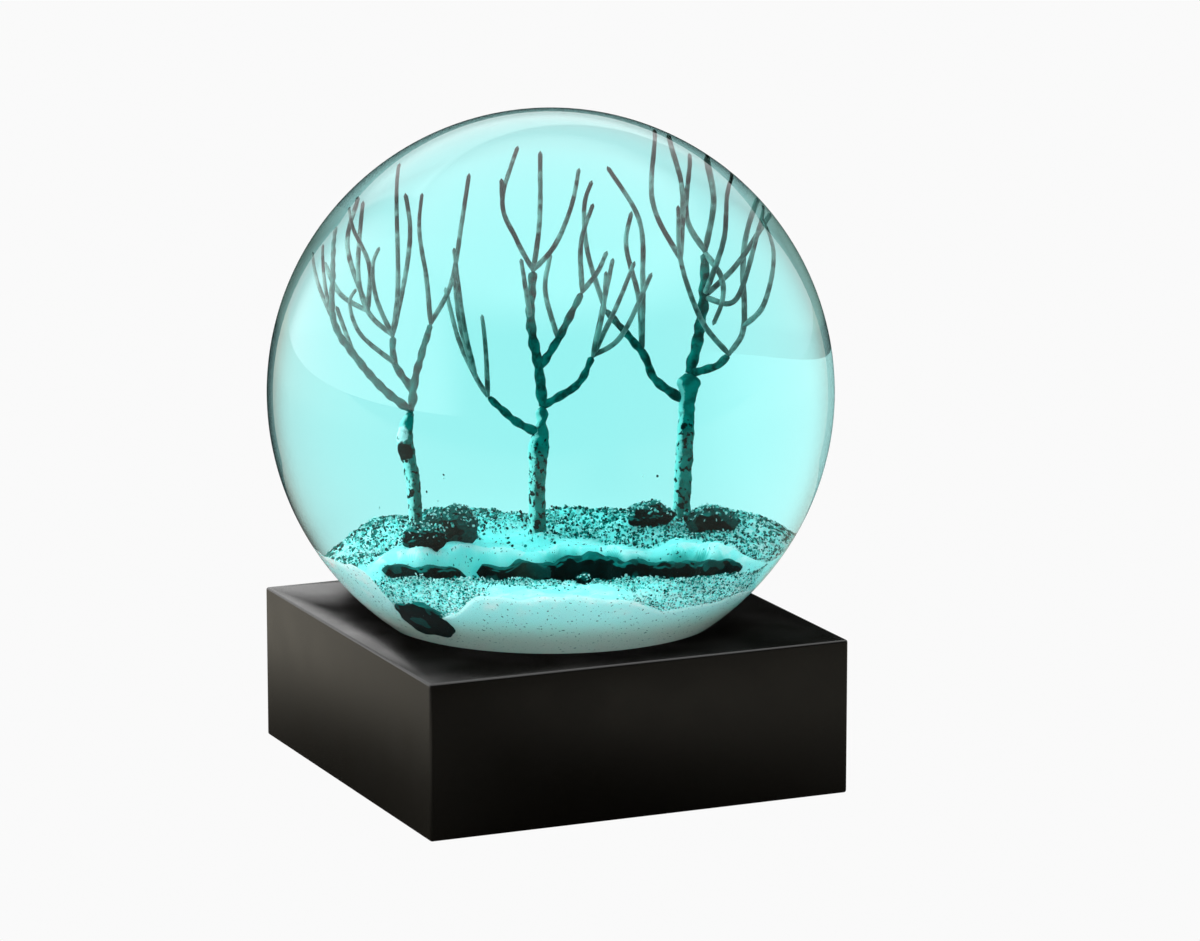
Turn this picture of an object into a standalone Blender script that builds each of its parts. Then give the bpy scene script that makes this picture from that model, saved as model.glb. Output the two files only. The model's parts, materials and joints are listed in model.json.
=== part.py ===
"""Snow globe: a liquid-filled glass ball with three bare wire trees, on a square black base.

Metres, +Z up. The origin is on the table, at the centre of the felt pad's underside. The base is
square to X and Y. The scenery inside the ball faces a corner of the base, so it is laid out in
a frame of its own: (across, depth, height) in millimetres, with depth growing away from the
viewer, turned by SCENERY_TURN about the upright axis.
"""

import math

import bmesh
import bpy
from mathutils import Matrix, Vector, noise

MM = 0.001

# Driving dimensions, in millimetres
GLOBE_DIAMETER = 101.6
GLASS_WALL = 1.8
GLOBE_CENTRE = 69.0
BASE_SIDE = 80.0
BASE_HEIGHT = 28.3
BOARD = 6.0
GAP = 0.3
NECK_RADIUS = 20.0
NECK_FOOT = 13.0
FELT = 1.7
SCENERY_TURN = math.radians(-23.9)

# Worked out from them
OUTER = GLOBE_DIAMETER / 2
INNER = OUTER - GLASS_WALL
FILL = INNER - 2 * GAP  # twice, because the ball's flats lie inside its true radius
PANEL_TOP = BASE_HEIGHT - BOARD - GAP
BORE = NECK_RADIUS - GLASS_WALL
BUNG_TOP = GLOBE_CENTRE - math.sqrt(INNER**2 - BORE**2) - GAP
CASTING_FOOT = BUNG_TOP + GAP

# Smoothness of the round pieces
TURNS = 40
SCREW_TURNS = 12
ARC_STEPS = 15
LIQUID_ARC_STEPS = 10
SNOW_RINGS = 11
WIRE_SIDES = 5

# The base's inside
BOTTOM_BOARD = 5.0
BOTTOM_BOARD_FOOT = FELT + GAP
BOTTOM_BOARD_TOP = BOTTOM_BOARD_FOOT + BOTTOM_BOARD
CORNER_BLOCK = 11.0
SCREW_INSET = BASE_SIDE / 2 - BOARD - GAP - CORNER_BLOCK / 2
SCREW_HEAD = 2.8
SCREW_SHANK = 1.3
SCREW_LENGTH = 12.0

# The landscape
GROUND = 43.6
LEDGE_RISE = 4.9
CREST_RISE = 2.4
TREE_SINK = 6.0
BARK_SINK = 1.2
LIQUID_CLEARANCE = 1.9

# Wire radii: (at the root, at the tip)
TRUNK_WIRE = (0.5, 0.5)
LIMB_WIRE = (0.6, 0.45)
TWIG_WIRE = (0.42, 0.36)
BARK = (1.15, 1.05)

# Each tree is a trunk and the wires that leave it, by (across, depth, height) along each one.
LEFT_TREE = [
    (TRUNK_WIRE, [(-17.5, -1, 49), (-18, 0.5, 57), (-19, 1.7, 62.5), (-18.2, 2.4, 66)]),
    (LIMB_WIRE, [(-18.2, 2.4, 66), (-22, 1.6, 69), (-26.5, 0.7, 74), (-29.9, 0.1, 79),
                 (-31.2, -0.3, 87), (-33, -0.6, 95)]),
    (TWIG_WIRE, [(-29.9, 0.1, 79), (-31.3, 1.5, 83), (-33, 4, 90)]),
    (TWIG_WIRE, [(-29.9, 0.1, 79), (-32.3, 3, 83.5), (-34, 6.5, 88)]),
    (TWIG_WIRE, [(-26.5, 0.7, 74), (-28, 7, 79)]),
    (LIMB_WIRE, [(-18.2, 2.4, 66), (-18, 3, 68.5), (-20.3, 3.7, 72), (-20.6, 4.5, 75.5)]),
    (TWIG_WIRE, [(-20.3, 3.7, 72), (-25.8, 0, 77), (-28.1, -2, 82), (-27.5, -3, 84.5)]),
    (TWIG_WIRE, [(-20.6, 4.5, 75.5), (-23.5, 7.5, 78), (-24.5, 10.5, 82.5), (-23.4, 16, 90)]),
    (TWIG_WIRE, [(-23.5, 7.5, 78), (-25.3, 14, 84.5), (-22.8, 20, 88.5)]),
    (TWIG_WIRE, [(-23.5, 7.5, 78), (-26.3, 12, 79), (-27.3, 17, 81.5)]),
    (TWIG_WIRE, [(-23.5, 7.5, 78), (-24.4, 4.2, 85.5), (-28, 2.7, 92), (-30.5, 2.4, 97)]),
    (TWIG_WIRE, [(-20.6, 4.5, 75.5), (-23.2, 3.4, 81), (-24.2, 2.4, 86), (-23.6, 1.8, 89)]),
    (TWIG_WIRE, [(-20.6, 4.5, 75.5), (-19.9, 6.3, 81), (-20, 8.2, 87.5), (-20.7, 11.5, 98.5)]),
    (TWIG_WIRE, [(-20.6, 4.5, 75.5), (-18.6, 9.3, 82), (-17.5, 14, 86.5), (-17.7, 17.5, 90)]),
    (LIMB_WIRE, [(-18.2, 2.4, 66), (-17.6, 3, 70.5), (-15.7, 3.8, 77.3)]),
    (TWIG_WIRE, [(-15.7, 3.8, 77.3), (-16.6, 2.6, 84), (-18.1, 1, 91.5), (-18.4, 0.1, 98)]),
    (TWIG_WIRE, [(-15.7, 3.8, 77.3), (-12.9, 6.6, 82), (-11.4, 10.5, 89), (-10.4, 13.5, 94.5)]),
]
MIDDLE_TREE = [
    (TRUNK_WIRE, [(-1.7, 5.2, 49.5), (-1.8, 6.5, 56.5), (-1.4, 7.8, 62), (-1.1, 8.4, 65.5)]),
    (LIMB_WIRE, [(-1.4, 7.8, 62), (-4.6, 6.4, 64), (-8.1, 4.8, 67.4)]),
    (TWIG_WIRE, [(-8.1, 4.8, 67.4), (-8.5, 3.3, 74), (-9.1, 2, 79)]),
    (TWIG_WIRE, [(-8.1, 4.8, 67.4), (-9.7, 5.2, 70), (-11.7, 8.7, 74), (-13.2, 12.5, 79.7)]),
    (TWIG_WIRE, [(-9.7, 5.2, 70), (-11.8, 4.7, 77), (-12.8, 4.3, 84.3)]),
    (TWIG_WIRE, [(-9.7, 5.2, 70), (-11.4, 3, 77.5), (-13.2, 0.2, 89)]),
    (LIMB_WIRE, [(-1.1, 8.4, 65.5), (-1.6, 9.2, 70), (-2.6, 10, 76), (-2.3, 11, 82.3)]),
    (TWIG_WIRE, [(-2.3, 11, 82.3), (-4.4, 10.5, 86.5), (-6.3, 10, 92), (-4.3, 13.5, 98.5)]),
    (TWIG_WIRE, [(-6.3, 10, 92), (-6.5, 9.5, 95.5)]),
    (TWIG_WIRE, [(-2.3, 11, 82.3), (-1.5, 14.5, 87.5), (-1.4, 19.5, 94.5)]),
    (TWIG_WIRE, [(-2.3, 11, 82.3), (0.5, 10.3, 86), (2.6, 9.6, 91.5), (3.7, 9, 97.3)]),
    (TWIG_WIRE, [(-2.6, 10, 76), (-3.9, 7.5, 85)]),
    (LIMB_WIRE, [(-1.6, 9.2, 70), (0.8, 10, 73.7), (3.8, 11.4, 79.4)]),
    (TWIG_WIRE, [(0.8, 10, 73.7), (-0.8, 15, 78.5), (-0.2, 19, 82)]),
    (TWIG_WIRE, [(3.8, 11.4, 79.4), (3.8, 9.6, 86.5), (5.5, 8, 92.5)]),
    (TWIG_WIRE, [(3.8, 11.4, 79.4), (5.8, 10.6, 82.3), (7.1, 9.8, 85.3)]),
    (LIMB_WIRE, [(-1.1, 8.4, 65.5), (3.3, 8, 68.4), (5.2, 7.9, 72)]),
    (TWIG_WIRE, [(5.2, 7.9, 72), (6.7, 5.6, 78.5), (7.3, 3.3, 84.6)]),
    (TWIG_WIRE, [(5.2, 7.9, 72), (6.7, 11.5, 79), (7.5, 15, 82.7)]),
    (TWIG_WIRE, [(5.2, 7.9, 72), (8.5, 7.6, 79), (10.8, 7.5, 84.7)]),
    (TWIG_WIRE, [(5.2, 7.9, 72), (8.8, 9.6, 74.3), (12.5, 12.3, 81.7)]),
]
RIGHT_TREE = [
    (TRUNK_WIRE, [(15.2, 12.5, 50.5), (15.7, 14, 58), (16.1, 15.4, 64.5), (16.3, 16.2, 68)]),
    (LIMB_WIRE, [(16.3, 16.2, 68), (17.2, 17.3, 71.5), (17.8, 19, 76.5), (17.7, 21, 81.3)]),
    (LIMB_WIRE, [(16.1, 15.4, 64.5), (12.4, 14.8, 67.6), (10.9, 14.5, 71), (6.5, 14, 76.5)]),
    (TWIG_WIRE, [(6.5, 14, 76.5), (4.4, 13.7, 84), (4.1, 13.5, 90), (5.1, 13.4, 93.5)]),
    (TWIG_WIRE, [(10.9, 14.5, 71), (10.4, 17, 77), (8.7, 20, 82.5), (9.2, 22, 86)]),
    (TWIG_WIRE, [(10.9, 14.5, 71), (11, 16, 79.7), (10.6, 16.5, 87), (6.8, 16.5, 94)]),
    (TWIG_WIRE, [(17.7, 21, 81.3), (15.8, 19.7, 86.5), (17.2, 18, 95.8)]),
    (TWIG_WIRE, [(17.7, 21, 81.3), (18, 24, 86), (16.2, 26.8, 89.3)]),
    (TWIG_WIRE, [(17.7, 21, 81.3), (20.1, 17.8, 79.3), (20.5, 15.8, 77), (19.7, 13.5, 74.6)]),
    (LIMB_WIRE, [(16.3, 16.2, 68), (19.5, 15.4, 69), (21.3, 14.8, 70.6)]),
    (TWIG_WIRE, [(21.3, 14.8, 70.6), (18.2, 14, 75.2), (16, 13.2, 83), (16, 12.8, 90.5)]),
    (TWIG_WIRE, [(16, 13.2, 83), (12.3, 16.4, 89.5), (12.6, 20.6, 98)]),
    (TWIG_WIRE, [(16, 13.2, 83), (15.6, 18.6, 90), (12.7, 25.5, 93)]),
    (TWIG_WIRE, [(21.3, 14.8, 70.6), (22.7, 17, 73.5), (21.7, 22, 80.5), (21.7, 26, 85)]),
    (TWIG_WIRE, [(22.7, 17, 73.5), (25.8, 14.6, 77), (27.9, 13.9, 84), (27.4, 13.6, 89.5)]),
    (TWIG_WIRE, [(17.8, 19, 76.5), (21.4, 20.9, 80), (24.2, 23.8, 84.6)]),
    (TWIG_WIRE, [(17.8, 19, 76.5), (20.6, 17.2, 84), (21.9, 16.1, 91), (24.4, 16, 96)]),
    (TWIG_WIRE, [(17.8, 19, 76.5), (22, 16.5, 77), (24.9, 17.2, 85.2), (26.8, 17.7, 89.7)]),
]
TREES = {"left": LEFT_TREE, "middle": MIDDLE_TREE, "right": RIGHT_TREE}

# Rock bands under the snow's lip: (from, to) across, and their (foot, top) heights
LEDGES = {"rock_ledge": ((-9, 26), (43.2, 47.4)), "left_rock_ledge": ((-23, -12), (43.4, 46.6))}

# Loose rocks: (across, depth) and half sizes, with how far each sinks into the snow
BOULDERS = {
    "boulder_left_back": ((-12.0, 3.5), (3.0, 2.4, 1.9), 0.5),
    "boulder_left_front": ((-16.5, -4.6), (2.3, 1.7, 1.5), 0.4),
    "boulder_right_inner": ((12.0, 8.5), (2.6, 2.0, 1.5), 0.5),
    "boulder_right_outer": ((19.5, 9.0), (3.1, 2.2, 1.6), 0.5),
    "pebble_front": ((5.0, -21.0), (1.1, 0.9, 0.9), 0.3),
}
CORNER_ROCK = ((-21.5, -27.0, 34.0), (5.2, 5.0, 4.6))

# Loose flakes on the front shelf, by (across, depth)
LOOSE_FLAKES = [(-20, -14), (-12, -19), (-4, -11), (5, -16), (13, -10.5), (21, -15)]
FLAKE_RADIUS = 0.8
FLAKE_THICKNESS = 0.35

# The settled flakes lie on the shelf, between these bounds across and in depth
DRIFT_ACROSS = (-17, 21)
DRIFT_DEPTH = (-9.2, -4.6)
DRIFT_LIFT = 0.8
DRIFT_THICKNESS = 0.5


def clear_scene():
    for obj in list(bpy.data.objects):
        bpy.data.objects.remove(obj, do_unlink=True)


# Materials


def material(name, colour, roughness, metallic=0.0, transmission=0.0):
    made = bpy.data.materials.new(name)
    made.use_nodes = True
    shader = made.node_tree.nodes["Principled BSDF"]
    shader.inputs["Base Color"].default_value = (*colour, 1)
    shader.inputs["Roughness"].default_value = roughness
    shader.inputs["Metallic"].default_value = metallic
    shader.inputs["Transmission Weight"].default_value = transmission
    made.diffuse_color = (*colour, 1 - 0.7 * transmission)
    return made


# Meshes


def mesh_from(bm, name):
    """A mesh in metres from a bmesh in millimetres, with its faces pointing out."""
    bmesh.ops.recalc_face_normals(bm, faces=bm.faces)
    bmesh.ops.scale(bm, vec=(MM, MM, MM), verts=bm.verts)
    mesh = bpy.data.meshes.new(name)
    bm.to_mesh(mesh)
    bm.free()
    return mesh


def add(name, mesh, look, at=(0, 0, 0), turn=0.0, smooth=False):
    """An object from a mesh, placed in millimetres and turned about its upright axis."""
    obj = bpy.data.objects.new(name, mesh)
    bpy.context.scene.collection.objects.link(obj)
    obj.location = Vector(at) * MM
    obj.rotation_euler.z = turn
    if look is not None:
        mesh.materials.clear()
        mesh.materials.append(look)
    if smooth:
        mesh.shade_smooth()
        mesh.set_sharp_from_angle(angle=math.radians(35))
    return obj


def box(name, size):
    bm = bmesh.new()
    bmesh.ops.create_cube(bm, size=1)
    bmesh.ops.scale(bm, vec=size, verts=bm.verts)
    return mesh_from(bm, name)


def turned(name, outline, closed=True, turns=TURNS):
    """The outline, as (radius, height), spun about Z. An open outline ends on the axis."""
    bm = bmesh.new()
    points = [bm.verts.new((radius, 0, height)) for radius, height in outline]
    pairs = list(zip(points, points[1:]))
    if closed:
        pairs.append((points[-1], points[0]))
    edges = [bm.edges.new(pair) for pair in pairs]
    bmesh.ops.spin(
        bm, geom=points + edges, cent=(0, 0, 0), axis=(0, 0, 1), angle=math.tau, steps=turns
    )
    bmesh.ops.remove_doubles(bm, verts=bm.verts, dist=1e-4)
    return mesh_from(bm, name)


def skin(name, rings, start, end):
    """A closed mesh through rings of points, each end drawn in to one point."""
    bm = bmesh.new()
    loops = [[bm.verts.new(point) for point in ring] for ring in rings]
    count = len(loops[0])
    for near, far in zip(loops, loops[1:]):
        for n in range(count):
            after = (n + 1) % count
            bm.faces.new((near[n], near[after], far[after], far[n]))
    for tip, loop in ((start, loops[0]), (end, loops[-1])):
        centre = bm.verts.new(tip)
        for n in range(count):
            bm.faces.new((centre, loop[n], loop[(n + 1) % count]))
    return mesh_from(bm, name)


def arc(radius, centre_height, first, last, steps):
    """Points as (radius, height) on a circle about the axis, by angles from straight up."""
    angles = [first + (last - first) * n / steps for n in range(steps + 1)]
    return [(radius * math.sin(a), centre_height + radius * math.cos(a)) for a in angles]


def tube(name, path, radii, sides=WIRE_SIDES):
    """A round wire along a path, from the first radius to the last, with closed ends."""
    path = [Vector(point) for point in path]
    side = (path[1] - path[0]).orthogonal().normalized()
    rings = []
    for n, point in enumerate(path):
        along = (path[min(n + 1, len(path) - 1)] - path[max(n - 1, 0)]).normalized()
        side = (side - side.dot(along) * along).normalized()
        other = along.cross(side)
        radius = radii[0] + (radii[1] - radii[0]) * n / (len(path) - 1)
        corners = [math.tau * k / sides for k in range(sides)]
        rings.append([point + radius * (math.cos(c) * side + math.sin(c) * other) for c in corners])
    return skin(name, rings, path[0], path[-1])


def combined(obj, others, operation):
    """Applies a Boolean with the other objects to obj, and removes them."""
    group = bpy.data.collections.new("cutters")
    bpy.context.scene.collection.children.link(group)
    for other in others:
        bpy.context.scene.collection.objects.unlink(other)
        group.objects.link(other)
    change = obj.modifiers.new("Boolean", "BOOLEAN")
    change.operand_type = "COLLECTION"
    change.collection = group
    change.operation = operation
    change.solver = "EXACT"
    graph = bpy.context.evaluated_depsgraph_get()
    mesh = bpy.data.meshes.new_from_object(obj.evaluated_get(graph))
    obj.modifiers.clear()
    obj.data = mesh
    for other in others:
        bpy.data.objects.remove(other, do_unlink=True)
    bpy.data.collections.remove(group)
    return obj


def helpers(meshes, turn=0.0):
    """The meshes as objects for a Boolean to use up."""
    return [add("helper", mesh, None, turn=turn) for mesh in meshes]


# The landscape's shape


def ease(low, high, value):
    """0 below low, 1 above high, and a smooth step between."""
    t = min(max((value - low) / (high - low), 0), 1)
    return t * t * (3 - 2 * t)


def lip(across):
    """How deep in the scene the snow shelf's front edge lies."""
    return -2 - 5 * ease(10, 18, -across) + 1.1 * math.sin(0.45 * across) + 0.6 * math.sin(1.1 * across)


def dip(across, depth):
    """How far the snow falls away towards the front glass: into a gully on the left, a slope on the right."""
    gully = 7.5 * ease(-32.5, -24, across) * (1 - ease(-19, -11, across))
    slope = 2.3 * ease(-32.5, -24, across) + 4.8 * ease(8, 22, across)
    return (gully + slope) * ease(22, 40, math.hypot(across, depth)) * ease(4, 10, -depth)


def terrain(across, depth):
    """The height of the snow: low in front of the lip, high behind it, and low again by the glass."""
    past_lip = depth - lip(across)
    rise = LEDGE_RISE + CREST_RISE * ease(0, 16, past_lip)
    middle = 1 - ease(20, 31, abs(across - 2))
    front = 1 - 0.55 * ease(20, 36, depth)
    ripple = 0.35 * math.sin(0.42 * across + 0.3 * depth) + 0.2 * math.sin(0.9 * across - 0.55 * depth)
    return GROUND + rise * ease(-0.9, 0.9, past_lip) * middle * front + ripple - dip(across, depth)


def ball_radius(height):
    """The filled ball's radius at a height."""
    return math.sqrt(FILL**2 - (height - GLOBE_CENTRE) ** 2)


def shore(angle, lift):
    """Where the snow, raised by lift, meets the ball in this direction."""
    reach = 40.0
    for _ in range(60):
        reach = ball_radius(terrain(reach * math.cos(angle), reach * math.sin(angle)) + lift)
    return reach


def snow_rings(lift):
    """Rings over the snow, raised by lift, from near the middle out to the ball."""
    angles = [math.tau * n / TURNS for n in range(TURNS)]
    rings = []
    for step in range(1, SNOW_RINGS + 1):
        ring = []
        for angle in angles:
            reach = shore(angle, 0) * step / SNOW_RINGS if step < SNOW_RINGS else shore(angle, lift)
            across, depth = reach * math.cos(angle), reach * math.sin(angle)
            ring.append((across, depth, terrain(across, depth) + lift))
        rings.append(ring)
    return rings


def ball_rings(shore_ring, last, steps):
    """Rings on the ball, from the shore to the angle last, measured from straight up."""
    rings = []
    for step in range(1, steps + 1):
        ring = []
        for across, depth, height in shore_ring:
            bearing = math.atan2(depth, across)
            first = math.acos((height - GLOBE_CENTRE) / FILL)
            angle = first + (last - first) * step / steps
            flat = FILL * math.sin(angle)
            up = GLOBE_CENTRE + FILL * math.cos(angle)
            ring.append((flat * math.cos(bearing), flat * math.sin(bearing), up))
        rings.append(ring)
    return rings


# The base


def side_panels(look):
    half = BASE_SIDE / 2
    plan = [(-half, -half), (half, -half), (half - BOARD, BOARD - half), (BOARD - half, BOARD - half)]
    plan = [(x - math.copysign(GAP / 2, x) * math.sqrt(2), y) for x, y in plan]
    bm = bmesh.new()
    floor = bm.faces.new([bm.verts.new((x, y, GAP)) for x, y in plan])
    raised = bmesh.ops.extrude_face_region(bm, geom=[floor])["geom"]
    top = [v for v in raised if isinstance(v, bmesh.types.BMVert)]
    bmesh.ops.translate(bm, vec=(0, 0, PANEL_TOP - GAP), verts=top)
    mesh = mesh_from(bm, "side_panel")
    for n, side in enumerate(("front", "right", "back", "left")):
        add(f"{side}_panel", mesh, look, turn=n * math.pi / 2)


def top_board(look):
    bm = bmesh.new()
    bmesh.ops.create_cube(bm, size=1)
    bmesh.ops.scale(bm, vec=(BASE_SIDE, BASE_SIDE, BOARD), verts=bm.verts)
    bmesh.ops.translate(bm, vec=(0, 0, BASE_HEIGHT - BOARD / 2), verts=bm.verts)
    edges = [e for e in bm.edges if all(v.co.z > BASE_HEIGHT - BOARD / 2 for v in e.verts)]
    bmesh.ops.bevel(bm, geom=edges, offset=0.5, segments=2, affect="EDGES", profile=0.5)
    board = add("top_board", mesh_from(bm, "top_board"), look)
    seat = turned("seat", arc(OUTER + 2 * GAP, GLOBE_CENTRE, 0, math.pi, 2 * ARC_STEPS), closed=False)
    combined(board, helpers([seat]), "DIFFERENCE")


def screw_places():
    return [(x * SCREW_INSET, y * SCREW_INSET) for x, y in ((-1, -1), (1, -1), (1, 1), (-1, 1))]


def screw_outline(extra):
    """A countersunk screw, head down, thickened by extra for the hole that it sits in."""
    foot = -0.5 if extra else 0
    return [
        (0, foot),
        (SCREW_HEAD + extra, foot),
        (SCREW_HEAD + extra, 0.4),
        (SCREW_SHANK + extra, SCREW_HEAD - SCREW_SHANK + 0.4),
        (SCREW_SHANK + extra, SCREW_LENGTH + extra),
        (0, SCREW_LENGTH + 1 + extra),
    ]


def bottom_board(look):
    side = BASE_SIDE - 2 * BOARD - 2 * GAP
    board = add("bottom_board", box("bottom_board", (side, side, BOTTOM_BOARD)), look)
    board.location.z = (BOTTOM_BOARD_FOOT + BOTTOM_BOARD / 2) * MM
    hole = turned("hole", screw_outline(GAP), closed=False, turns=SCREW_TURNS)
    cutters = helpers([hole] * len(screw_places()))
    for cutter, (x, y) in zip(cutters, screw_places()):
        cutter.location = Vector((x, y, BOTTOM_BOARD_FOOT + GAP)) * MM
    combined(board, cutters, "DIFFERENCE")


def corner_blocks(look):
    """Glue blocks in the base's corners, each with a pilot hole for its screw."""
    foot = BOTTOM_BOARD_TOP + GAP
    height = PANEL_TOP - GAP - foot
    block = add("helper", box("corner_block", (CORNER_BLOCK, CORNER_BLOCK, height)), None)
    hole = turned("hole", screw_outline(GAP), closed=False, turns=SCREW_TURNS)
    cutter = helpers([hole])[0]
    cutter.location.z = (BOTTOM_BOARD_FOOT + GAP - foot - height / 2) * MM
    mesh = combined(block, [cutter], "DIFFERENCE").data
    bpy.data.objects.remove(block, do_unlink=True)
    for n, (x, y) in enumerate(screw_places(), start=1):
        add(f"corner_block_{n}", mesh, look, at=(x, y, foot + height / 2))


def screws(look):
    """Four countersunk screws, with a slot across each head."""
    screw = add("helper", turned("screw", screw_outline(0), closed=False, turns=SCREW_TURNS), None)
    slot = helpers([box("slot", (2 * SCREW_HEAD + 1, 0.7, 1.2))])
    mesh = combined(screw, slot, "DIFFERENCE").data
    bpy.data.objects.remove(screw, do_unlink=True)
    for n, (x, y) in enumerate(screw_places(), start=1):
        at = (x, y, BOTTOM_BOARD_FOOT + GAP)
        add(f"bottom_screw_{n}", mesh, look, at=at, turn=0.7 * n, smooth=True)


def felt_pad(look):
    side = BASE_SIDE - 2 * BOARD - 4 * GAP
    bm = bmesh.new()
    bmesh.ops.create_cube(bm, size=1)
    bmesh.ops.scale(bm, vec=(side, side, FELT), verts=bm.verts)
    upright = [e for e in bm.edges if abs(e.verts[0].co.z - e.verts[1].co.z) > FELT / 2]
    bmesh.ops.bevel(bm, geom=upright, offset=3, segments=4, affect="EDGES", profile=0.5)
    add("felt_pad", mesh_from(bm, "felt_pad"), look, at=(0, 0, FELT / 2))


# The ball and its stopper


def glass_globe(look):
    outer_end = math.pi - math.asin(NECK_RADIUS / OUTER)
    inner_end = math.pi - math.asin(BORE / INNER)
    outside = arc(OUTER, GLOBE_CENTRE, 0, outer_end, ARC_STEPS)
    inside = arc(INNER, GLOBE_CENTRE, inner_end, 0, ARC_STEPS)
    neck = [(NECK_RADIUS, NECK_FOOT), (BORE, NECK_FOOT)]
    add("glass_globe", turned("glass_globe", outside + neck + inside, closed=False), look, smooth=True)


def bung(look):
    """A rubber stopper with a flange under the neck."""
    plug = BORE - GAP
    foot = NECK_FOOT - GAP - 3
    outline = [
        (0, foot),
        (NECK_RADIUS, foot),
        (NECK_RADIUS, NECK_FOOT - GAP),
        (plug, NECK_FOOT - GAP),
        (plug, BUNG_TOP - 1),
        (plug - 1, BUNG_TOP),
        (0, BUNG_TOP),
    ]
    add("rubber_bung", turned("rubber_bung", outline, closed=False), look, smooth=True)


def neck_seal(look):
    """Silicone wiped round the joint of the neck and the stopper."""
    inside = NECK_RADIUS + GAP
    foot = NECK_FOOT - 2 * GAP - 2.5
    outline = [(inside, foot), (inside + 1.4, foot + 0.6), (inside + 1.8, foot + 3), (inside, foot + 5.5)]
    add("neck_seal", turned("neck_seal", outline), look, smooth=True)


def glue_bead(look):
    """The bead that bonds the neck to the underside of the top board."""
    inside = NECK_RADIUS + GAP
    top = PANEL_TOP
    outline = [(inside, top), (inside, top - 4), (inside + 2, top - 2.6), (inside + 5.5, top)]
    add("glue_bead", turned("glue_bead", outline), look, smooth=True)


# Inside the ball


def rock(name, centre, half_sizes, extra):
    """A lump of rock about a centre, swollen by extra."""
    bm = bmesh.new()
    bmesh.ops.create_icosphere(bm, subdivisions=2, radius=1)
    for vert in bm.verts:
        rough = 1 + 0.28 * noise.noise(2.1 * vert.co + 3 * Vector(centre))
        size = Vector([half + extra for half in half_sizes])
        vert.co = Vector(centre) + Vector([c * s * rough for c, s in zip(vert.co, size)])
    return mesh_from(bm, name)


def ledge(name, reach, heights, extra):
    """A craggy band of rock that follows the snow's lip, swollen by extra."""
    stations = 12
    sides = 8
    foot, top = heights
    middle, half_height = (foot + top) / 2, (top - foot) / 2
    rings = []
    for n in range(stations + 1):
        across = reach[0] - extra + (reach[1] - reach[0] + 2 * extra) * n / stations
        taper = math.sin(math.pi * (0.12 + 0.76 * n / stations)) ** 0.5
        ring = []
        for k in range(sides):
            angle = math.tau * k / sides
            crag = 0.22 * noise.noise(Vector((0.45 * across, math.cos(angle), math.sin(angle))))
            depth = lip(across) + 0.4 + (2.3 * taper * (1 + crag) + extra) * math.cos(angle)
            height = middle + (half_height * taper * (1 + crag) + extra) * math.sin(angle)
            ring.append((across, depth, height))
        rings.append(ring)
    ends = []
    for ring, outward in ((rings[0], -0.8), (rings[-1], 0.8)):
        centre = sum((Vector(point) for point in ring), Vector()) / sides
        ends.append(centre + Vector((outward, 0, 0)))
    return skin(name, rings, *ends)


def boulder_centre(place, half_sizes, sink):
    across, depth = place
    return (across, depth, terrain(across, depth) + half_sizes[2] * (1 - sink))


def rock_meshes(extra):
    """Every rock by name, swollen by extra."""
    made = {name: ledge(name, *shape, extra) for name, shape in LEDGES.items()}
    for name, (place, half_sizes, sink) in BOULDERS.items():
        made[name] = rock(name, boulder_centre(place, half_sizes, sink), half_sizes, extra)
    made["corner_rock"] = rock("corner_rock", *CORNER_ROCK, extra)
    return made


def lowered(point, drop):
    return (point[0], point[1], point[2] - drop)


def wire_meshes(tree, extra):
    """Every wire of a tree, thickened by extra. The trunk's goes down into the snow."""
    made = []
    for n, (radii, points) in enumerate(tree):
        sunk = [lowered(points[0], TREE_SINK + extra)] if n == 0 else []
        made.append(tube("wire", sunk + points, (radii[0] + extra, radii[1] + extra)))
    return made


def bark_mesh(tree, extra):
    """The coat on a trunk, from just under the snow to a little below the first fork."""
    foot, *middle, top, _ = tree[0][1]
    path = [lowered(foot, BARK_SINK + extra), *middle, lowered(top, -extra)]
    return tube("bark", path, (BARK[0] + extra, BARK[1] + extra), sides=8)


def trees(wire_look, bark_look):
    for name, tree in TREES.items():
        first, *others = wire_meshes(tree, 0)
        armature = add(f"{name}_tree_wires", first, None, turn=SCENERY_TURN)
        combined(armature, helpers(others, SCENERY_TURN), "UNION")
        armature.data.materials.append(wire_look)
        bark = add(f"{name}_tree_bark", bark_mesh(tree, 0), None, turn=SCENERY_TURN)
        combined(bark, helpers(wire_meshes(tree, GAP), SCENERY_TURN), "DIFFERENCE")
        bark.data.materials.append(bark_look)


def rocks(look):
    """The rocks. The corner rock is cut off where it lies against the glass."""
    for name, mesh in rock_meshes(0).items():
        add(name, mesh, look, turn=SCENERY_TURN)
    ball = turned("ball", arc(FILL, GLOBE_CENTRE, 0, math.pi, 2 * ARC_STEPS), closed=False)
    corner = combined(bpy.data.objects["corner_rock"], helpers([ball]), "INTERSECT")
    corner.data.materials.clear()
    corner.data.materials.append(look)


def landscape(look):
    """The snow: a casting that fills the ball's foot, cut out for the rocks and the trees."""
    top = snow_rings(0)
    foot = math.pi - math.asin(ball_radius(CASTING_FOOT) / FILL)
    under = ball_rings(top[-1], foot, 5)
    mesh = skin("landscape", top + under, (0, 0, terrain(0, 0)), (0, 0, CASTING_FOOT))
    snow = add("landscape", mesh, None, turn=SCENERY_TURN)
    cutters = list(rock_meshes(GAP).values())
    for tree in TREES.values():
        cutters += [wire_meshes(tree, GAP)[0], bark_mesh(tree, GAP)]
    combined(snow, helpers(cutters, SCENERY_TURN), "DIFFERENCE")
    snow.data.materials.append(look)


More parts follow.
